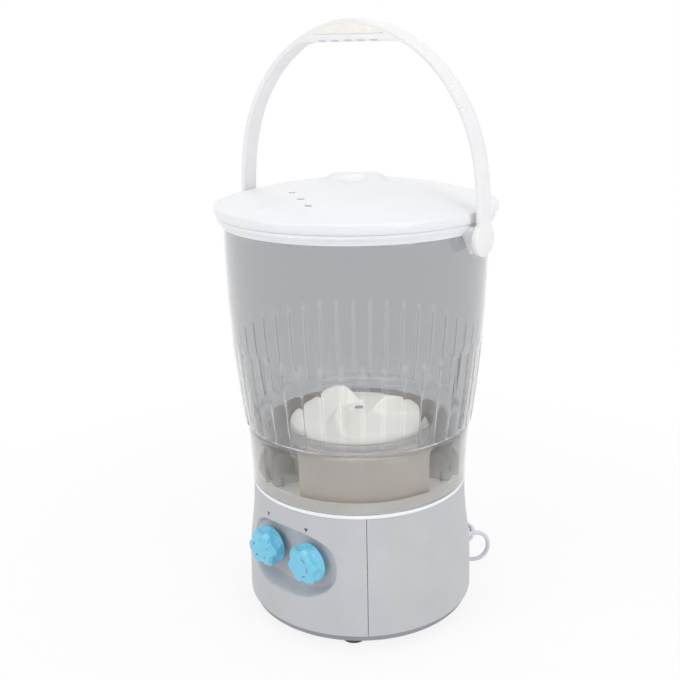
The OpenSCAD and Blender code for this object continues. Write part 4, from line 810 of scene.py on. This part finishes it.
def knob(x, turn):
    """A knob on the axis at x, turned by an angle in degrees."""
    wall, rim = KNOB_FACE - CHAMFER, KNOB_RADIUS - 0.6
    side = [(rim, z) for z in between(3.3, wall, 16)]
    chamfer = [(rim - CHAMFER * t, wall + CHAMFER * t) for t in between(0.06, 0.94, 8)]
    face = [(rim - CHAMFER - 0.4, KNOB_FACE)] + [(r, KNOB_FACE) for r in between(17.5, 0, 12)]
    back = [(0, -HUB_REACH), (HUB_RADIUS, -HUB_REACH), (HUB_RADIUS, 0), (KNOB_RADIUS - 1, 0),
            (KNOB_RADIUS, 0.7), (KNOB_RADIUS, 2.4)]
    bm = lathe(back + side + chamfer + face, 216)
    for v in bm.verts:
        r = math.hypot(v.co.x, v.co.y)
        if v.co.z > 3.4 and r > 1:
            t = (math.degrees(math.atan2(v.co.y, v.co.x)) * SCOOPS / 360) % 1 * 2 - 1
            off = (t / SCOOP_WIDTH) ** 2 + ((v.co.z - SCOOP_MIDDLE) / SCOOP_HALF) ** 2
            press = SCOOP_PRESS * max(0.0, 1 - off) ** 0.75 * ease((r - 6) / 12)
            v.co.x *= 1 - press / r
            v.co.y *= 1 - press / r
    move(bm, knob_place(x) @ turned(turn, "Z"))
    return bm


piece("timer_knob_scooped", knob(-KNOB_SIDE, 4), KNOB_ABS, "timer_dial", ["timer_knob"], fold=28)
piece("selector_knob_scooped", knob(KNOB_SIDE, 14), KNOB_ABS, "selector_dial", ["selector_knob"], fold=28)

# %% [markdown]
# Short printed bars stand for the marks on the faces of the knobs, and they turn with the knobs.

# %% The marks on the knobs
MARK_RADIUS, MARK_THICK = 11.5, 0.16


def print_mark(x, turn, wide, high, body, name):
    """A short printed bar on a knob's face, standing along the radius."""
    bm = bmesh.new()
    place = knob_place(x, KNOB_FACE) @ turned(turn, "Z")
    box(bm, place @ at(0, MARK_RADIUS, 0), (wide, high, MARK_THICK))
    piece(name, bm, KNOB_INK, body, flat=True)


for i, turn in enumerate((0, -72, -144, -216, -288)):
    print_mark(-KNOB_SIDE, turn, 1.2 + 0.5 * i, 2.6, "timer_dial", f"timer_mark_{i}")
for i, turn in enumerate((-30, -90, -150)):
    print_mark(KNOB_SIDE, turn, 6.5, 1.8, "selector_dial", f"selector_mark_{i}")

# %% [markdown]
# ## The pulsator
# The pulsator is a shallow disc with three curved fins that throw the water about. It is spun as
# a plain disc with many rows, and the fins are heights that follow a curved line from the hub
# outwards.

# %% The pulsator
DISC = 225.2
FINS, FIN_START, FIN_LONG, FIN_TURN, FIN_CURVE = 3, 18, 61, math.radians(25), 0.45
FIN_WIDE, FIN_WIDEN, FIN_HIGH = 15, 6, 17.5


def disc_height(r):
    """The height of the disc's plain top."""
    points = [(0, 24), (22, 23.4), (45, 21.4), (68.5, 18.6), (77.5, 16), (82.5, 12), (85.1, 6), (86.5, 2)]
    for (r0, z0), (r1, z1) in zip(points, points[1:]):
        if r <= r1:
            return z0 + (z1 - z0) * (r - r0) / (r1 - r0)
    return 0.0


def fin_height(x, y):
    """The height of the fins above the disc."""
    r = math.hypot(x, y)
    t = (r - FIN_START) / FIN_LONG
    if not 0 < t < 1:
        return 0.0
    angle = math.atan2(y, x) - FIN_TURN - FIN_CURVE * t
    step = 2 * math.pi / FINS
    off = ((angle / step + 0.5) % 1 - 0.5) * step * r
    crest = FIN_HIGH * math.sin(math.pi * t ** 0.8) ** 0.8
    return crest * (1 - ease(abs(off) / (FIN_WIDE + FIN_WIDEN * t))) ** 1.15


disc_rows = between(0, 80, 52) + [81.2, 82.5, 83.4, 84.3, 85.1, 85.8, 86.3, 86.5]
pulsator = lathe([(r, disc_height(r)) for r in disc_rows]
                 + [(86.5, 0), (83.5, 0), (82, 5), (78, 10), (66, 15), (16, 18), (12, 8), (5.3, 8)], 180)
for vert in pulsator.verts:
    r = math.hypot(vert.co.x, vert.co.y)
    if vert.co.z > disc_height(r) - 0.5:
        vert.co.z += fin_height(vert.co.x, vert.co.y)
bmesh.ops.translate(pulsator, vec=(0, 0, DISC), verts=pulsator.verts)
piece("pulsator_finned", pulsator, PULSATOR_PP, "pulsator_unit", ["pulsator"])

# %% [markdown]
# ## The mains cord
# The cord leaves through a tapered strain relief low on the rear right, turns over in a short
# U-bend, and lies round the back of the base. The rest is folded into a neat hank behind the
# machine, held by a tie, with the plug beside it. The route is the one that the CAD model uses, so
# the curve lies in the space that the collision model holds. A curve object is made of that
# route, because a curve keeps a round section at every bend.

# %% The cord's route
CORD = 5.6
CORD_ANGLE, CORD_HEIGHT, SLEEVE = 150.0, 45.0, 20.0
HANK_MIDDLE, HANK_HALF, HANK_LOW = Vector((-22, 188, 0)), 42.0, 4.1
HANK_INNER, HANK_GAP, HANK_LIFT, HANK_WAIST = 17, 1.4, 0.8, 6
# A loop has 24 steps: a straight run and a bend, and the same again on its way back.
LOOP, RUN, TURNS = 24, 5, 4
BACK, BEND = LOOP // 2, LOOP // 2 - RUN
LAST, TURN_BACK = TURNS * LOOP + RUN, TURNS // 2 * LOOP + RUN


def waist(x):
    """How far the tie draws a straight run in, at a distance from it."""
    return HANK_WAIST * (0.5 + 0.5 * math.cos(math.pi * x / HANK_HALF))


def hank_point(k):
    """Step k of the hank: four flat loops that wind in on the floor and out again on top."""
    r = HANK_INNER + (CORD + HANK_GAP) * abs(k - TURN_BACK) / LOOP
    t = (k - TURN_BACK + BACK) / BACK
    up = 0 if t <= 0 else 1 if t >= 1 else 1 - math.sqrt(1 - t * t)
    k = k % LOOP
    if k <= RUN:
        x = HANK_HALF * (1 - 2 * k / RUN)
        y = waist(x) - r
    elif k < BACK:
        a = math.radians(-90 - 180 * (k - RUN) / BEND)
        x, y = r * math.cos(a) - HANK_HALF, r * math.sin(a)
    elif k <= BACK + RUN:
        x = HANK_HALF * (2 * (k - BACK) / RUN - 1)
        y = r - waist(x)
    else:
        a = math.radians(90 - 180 * (k - BACK - RUN) / BEND)
        x, y = r * math.cos(a) + HANK_HALF, r * math.sin(a)
    return HANK_MIDDLE + Vector((x, y, HANK_LOW + (CORD + HANK_LIFT) * up))


cord_start = polar(base_radius(CORD_HEIGHT - SHELL_LOW) + SLEEVE, CORD_ANGLE, CORD_HEIGHT)
plug_at = Vector((-92, 160, 9))
along = Vector((CORD, 0, 0))
free_run = [(86.9, 150, 42.9), (90.9, 156.2, 37.1), (93.3, 159.3, 28.2), (93, 158.6, 17.5),
            (89.1, 154.1, 8.6), (81.7, 147.6, 3.7), (69.5, 140.7, 3.2), (57.9, 140.5, 3.7),
            (45.3, 146.5, 4.2), (34, 152.6, HANK_LOW)]
route = [cord_start, cord_start + polar(CORD, CORD_ANGLE)] + [Vector(p) for p in free_run]
route += [hank_point(0) + along] + [hank_point(k) for k in range(LAST + 1)]
route += [hank_point(LAST) - along, plug_at + Vector((3 * CORD, -1.6, 0.9))]
route += [plug_at + 2 * along, plug_at + along, plug_at]


def smooth_line(points, steps):
    """A Catmull-Rom curve through the points."""
    line = []
    for i in range(len(points) - 1):
        a, b, c = points[max(0, i - 1)], points[i], points[i + 1]
        d = points[min(len(points) - 1, i + 2)]
        for s in range(steps):
            t = s / steps
            line.append(0.5 * (2 * b + (c - a) * t + (2 * a - 5 * b + 4 * c - d) * t * t
                               + (3 * b - 3 * c + d - a) * t ** 3))
    return line + [points[-1]]


cord_line = smooth_line(route, 3)
print("cord length in mm:", round(sum((b - a).length for a, b in zip(cord_line, cord_line[1:]))))

# %% The cord, as a curve with a round section
cord_curve = bpy.data.curves.new("mains_cord", "CURVE")
cord_curve.dimensions = "3D"
cord_curve.bevel_depth = CORD / 2 * MM
cord_curve.bevel_resolution = 4
cord_curve.use_fill_caps = True
spline = cord_curve.splines.new("POLY")
spline.points.add(len(cord_line) - 1)
for point, place in zip(spline.points, cord_line):
    point.co = (*(place * MM), 1)
mains_cord = stand("mains_cord", cord_curve)
mains_cord.data.materials.append(CORD_PVC)
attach(mains_cord, "machine")
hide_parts("power_cord", "cord_hank", "cord_to_plug")

# %% [markdown]
# The strain relief is turned with rings, so that it bends in small steps. The plug is a block with
# round corners, and a ringed sleeve like the strain relief leads the cord into it.

# %% The strain relief and the plug
def ringed(r0, r1, low, high, rings, depth):
    """Points of a taper that narrows in rings."""
    points = []
    for i in range(rings):
        z = low + (high - low) * i / rings
        step = (high - low) / rings
        r = r0 + (r1 - r0) * i / rings
        points += [(r, z), (r, z + step * 0.62), (r - depth, z + step * 0.72), (r - depth, z + step * 0.95)]
    return points + [(r1, high)]


gland = lathe([(0, -9), (8, -9), (8, -4), (6, -4), (6, 0.5), (8.5, 0.5), (8.5, 2.6), (8.1, 3)]
              + ringed(5.4, 3.9, 3.4, SLEEVE, 6, 0.6) + [(0, SLEEVE)], 64)
wall_at = polar(base_radius(CORD_HEIGHT - SHELL_LOW), CORD_ANGLE, CORD_HEIGHT)
move(gland, at(*wall_at) @ turned(CORD_ANGLE - 90, "Z") @ turned(90, "Y"))
piece("strain_relief_ringed", gland, CORD_PVC, "machine", ["cord_gland"], fold=25)

PLUG_SLEEVE, PLUG_LONG, PLUG_WIDE, PLUG_HIGH = 22.0, 34.0, 25.0, 18.0
sleeve_line = [(r, PLUG_SLEEVE - z) for r, z in ringed(6.2, 3.8, 0, PLUG_SLEEVE, 5, 0.5)][::-1]
plug = lathe([(0, 0)] + sleeve_line + [(0, PLUG_SLEEVE)], 48)
block = box(plug, at(0, 0, PLUG_SLEEVE + PLUG_LONG / 2 - 0.01), (PLUG_HIGH, PLUG_WIDE, PLUG_LONG))
block_edges = [e for e in plug.edges if e.verts[0] in block and e.verts[1] in block]
upright = [e for e in block_edges if abs(e.verts[0].co.z - e.verts[1].co.z) > 1]
soften(plug, upright, 5.5, 6)
ends = [e for e in plug.edges if len(e.link_faces) == 2 and max(abs(v.co.x) for v in e.verts) > 1
        and all(abs(abs(v.co.z - PLUG_SLEEVE - PLUG_LONG / 2) - PLUG_LONG / 2) < 0.05 for v in e.verts)
        and max(math.hypot(v.co.x, v.co.y) for v in e.verts) > 7]
soften(plug, ends, 1.2, 3)
move(plug, at(*plug_at) @ turned(-90, "Y"))
piece("plug_body_round", plug, CORD_PVC, "machine", ["plug_body"])

# %% [markdown]
# ## Finishes for the pieces that the CAD model already shapes well
# Feet, screws, the deck and everything inside the base keep their CAD shapes. Each gets the finish
# of its own material. Layered and wound things, such as the motor's sheet-steel stack or its
# copper coils, get fine bands at about the pitch of the real sheets or wires.

# %% Metals, rubbers and layered finishes
WAVE_UNIT = 3.18  # a wave texture of scale 1 has about this many bands in a metre


def banded(name, colour, shade, roughness, band_mm, metallic=1.0, depth=0.05):
    """A finish of fine bands, such as stacked sheets, wound wire or turning marks."""
    material = moulded(name, colour, shade, roughness, band_mm * 2, depth, drift_mm=15, metallic=metallic)
    tree = material.node_tree
    where = next(n for n in tree.nodes if n.type == "TEX_COORD").outputs["Object"]
    bands = add(material, "TexWave", {"Vector": where}, bands_direction="Z",
                Scale=1000 / band_mm / WAVE_UNIT, Distortion=0.4, Detail=1.0)
    bump = next(n for n in tree.nodes if n.type == "BUMP")
    tree.links.new(bands.outputs["Fac"], bump.inputs["Height"])
    bump.inputs["Strength"].default_value = 0.5
    return material


ZINC = moulded("zinc_plated_steel", "#b4b7bd", "#9c9fa6", 0.38, 0.4, 0.03, drift_mm=5, metallic=1.0)
SHEET_ZINC = moulded("zinc_plated_sheet", "#b9bcc2", "#a6a9b0", 0.42, 1.5, 0.05, drift_mm=12,
                     metallic=1.0)
GROUND_STEEL = banded("ground_steel", "#c8cace", "#bcbec4", 0.24, 0.4)
CAST_ALUMINIUM = moulded("die_cast_aluminium", "#a9adb2", "#9a9ea4", 0.5, 0.8, 0.12, drift_mm=10,
                         metallic=1.0)
TURNED_ALUMINIUM = banded("turned_aluminium", "#cdcfd3", "#c2c4c9", 0.28, 0.35)
BRONZE = moulded("sintered_bronze", "#b98d4f", "#a67d44", 0.45, 0.3, 0.05, drift_mm=4, metallic=1.0)
BRASS = moulded("drawn_brass", "#cdb57c", "#c2a96e", 0.28, 0.5, 0.02, drift_mm=6, metallic=1.0)
LAMINATIONS = banded("stacked_sheet_steel", "#8b8e94", "#74777d", 0.45, 1.0, depth=0.2)
COPPER = banded("varnished_copper_wire", "#b5652f", "#9c5426", 0.35, 0.9, metallic=0.0, depth=0.4)
BLACK_RUBBER = moulded("black_rubber", "#2b2c30", "#232427", 0.68, 0.6, 0.1, drift_mm=8)
CREAM_PHENOLIC = moulded("cream_phenolic", "#dcd9d0", "#d2cec3", 0.45, 0.7, 0.06, drift_mm=12)
GREY_PP = moulded("grey_polypropylene", "#cfcfcb", "#c4c4bf", 0.5, 1.0, 0.06, drift_mm=18)
BLACK_NYLON = moulded("black_nylon", "#3a3b40", "#303136", 0.5, 0.5, 0.06, drift_mm=6)

FINISHES = {
    ZINC: ["cover_screws", "foot_screws", "tub_screws", "plate_screws", "pulley_nut", "motor_bolts"],
    SHEET_ZINC: ["drive_plate"],
    GROUND_STEEL: ["pivot_pins", "pulsator_screw", "drive_shaft", "motor_rotor", "timer_shaft",
                   "selector_shaft"],
    CAST_ALUMINIUM: ["bearing_housing", "motor_upper_bell", "motor_lower_bell"],
    TURNED_ALUMINIUM: ["motor_pulley"],
    BRONZE: ["shaft_bushes"],
    BRASS: ["plug_pins"],
    LAMINATIONS: ["motor_stator"],
    COPPER: ["motor_windings"],
    BLACK_RUBBER: ["shaft_seal", "motor_mounts", "drive_belt"],
    FOOT_RUBBER_AND_SHADE: ["rubber_feet"],
    CREAM_PHENOLIC: ["capacitor", "terminal_block", "timer_body", "selector_body"],
    GREY_PP: ["drain_pipe", "drain_spout", "large_pulley"],
    BLACK_NYLON: ["cord_tie"],
    DECK_PP: ["base_deck"],
    LIP_ABS: ["bottom_cover"],
}
CAD_WELD, CAD_FOLD = 0.02 * MM, math.radians(32)
for material, names in FINISHES.items():
    for name in names:
        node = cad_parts[name]
        node.data.materials.clear()
        node.data.materials.append(material)
        node.data.polygons.foreach_set("use_smooth", [True] * len(node.data.polygons))
        weld = node.modifiers.new("weld", "WELD")
        weld.merge_threshold = CAD_WELD
        split = node.modifiers.new("split", "EDGE_SPLIT")
        split.split_angle = CAD_FOLD
print("CAD nodes with a finish:", sum(len(v) for v in FINISHES.values()))

# %% [markdown]
# ## Light, floor and backdrop
# Product photographs of pale things use wide soft boxes. The world gives an even base light, and
# the lamps add a soft fall across it. The white behind the machine comes from what camera, glossy
# and transmission rays see, and not from more light on the machine.

# %% The studio
def sees_backdrop(owner):
    """1 for the rays that should see the white backdrop, in the nodes of a world or a material."""
    path = add(owner, "LightPath")
    total = path.outputs["Is Camera Ray"]
    for name in ("Is Glossy Ray", "Is Transmission Ray"):
        total = value(owner, "MAXIMUM", total, path.outputs[name])
    return total


WORLD_LIGHT = 0.62
LOOK = (0, 0, 0.3)
world = bpy.data.worlds.new("studio")
scene.world = world
world.use_nodes = True
sky = world.node_tree.nodes["Background"]
strength = add(world, "MapRange", {"Value": sees_backdrop(world)}, To_Min=WORLD_LIGHT, To_Max=1.0)
sky.inputs["Color"].default_value = (1, 1, 1, 1)
world.node_tree.links.new(strength.outputs["Result"], sky.inputs["Strength"])


def soft_box(name, place, aim_at, size, watts):
    """A rectangular lamp that faces a point."""
    data = bpy.data.lights.new(name, "AREA")
    data.shape = "RECTANGLE"
    data.size, data.size_y = size
    data.energy = watts
    lamp = stand(name, data)
    lamp.location = place
    lamp.rotation_euler = (Vector(aim_at) - Vector(place)).to_track_quat("-Z", "Y").to_euler()


soft_box("key", (-0.7, -1.7, 1.2), LOOK, (0.9, 1.4), 9.5)
soft_box("fill", (1.9, -0.5, 0.9), LOOK, (0.8, 1.4), 10)
soft_box("top", (0.2, 0.2, 2.2), LOOK, (1.6, 1.6), 9.5)
# The pale lid of the real machine lets light through. This lamp under it stands for that light.
soft_box("through_lid", (0, 0, 0.47), (0, 0, 0), (0.2, 0.2), 0.32)

# %% [markdown]
# The floor is pale paper that keeps the machine's shadow, and fades to the backdrop's white further out.

# %% The floor
FLOOR_HALF = 30
SPOT_RADIUS, FADE_RADIUS, SPOT_SHARE = 0.35, 0.8, 0.86
floor_mesh = bmesh.new()
bmesh.ops.create_grid(floor_mesh, x_segments=1, y_segments=1, size=FLOOR_HALF)
mesh = bpy.data.meshes.new("floor")
floor_mesh.to_mesh(mesh)
floor_mesh.free()
floor = stand("floor", mesh)
floor_paint = blank("white_sweep_paper")
paper = add(floor_paint, "BsdfDiffuse", Color=linear("#f2f2f3"))
white = add(floor_paint, "Emission", Color=(1, 1, 1, 1), Strength=1.0)
where = add(floor_paint, "TexCoord").outputs["Object"]
spot = add(floor_paint, "VectorMath", {"Vector": where}, operation="LENGTH")
share = add(floor_paint, "MapRange", {"Value": spot.outputs["Value"]}, From_Min=SPOT_RADIUS,
            From_Max=FADE_RADIUS, To_Min=SPOT_SHARE, To_Max=1.0)
backdrop = value(floor_paint, "MULTIPLY", share.outputs["Result"], sees_backdrop(floor_paint))
mix = add(floor_paint, "MixShader", {"Fac": backdrop, 1: paper.outputs[0], 2: white.outputs[0]})
add(floor_paint, "OutputMaterial", {"Surface": mix.outputs[0]})
floor.data.materials.append(floor_paint)
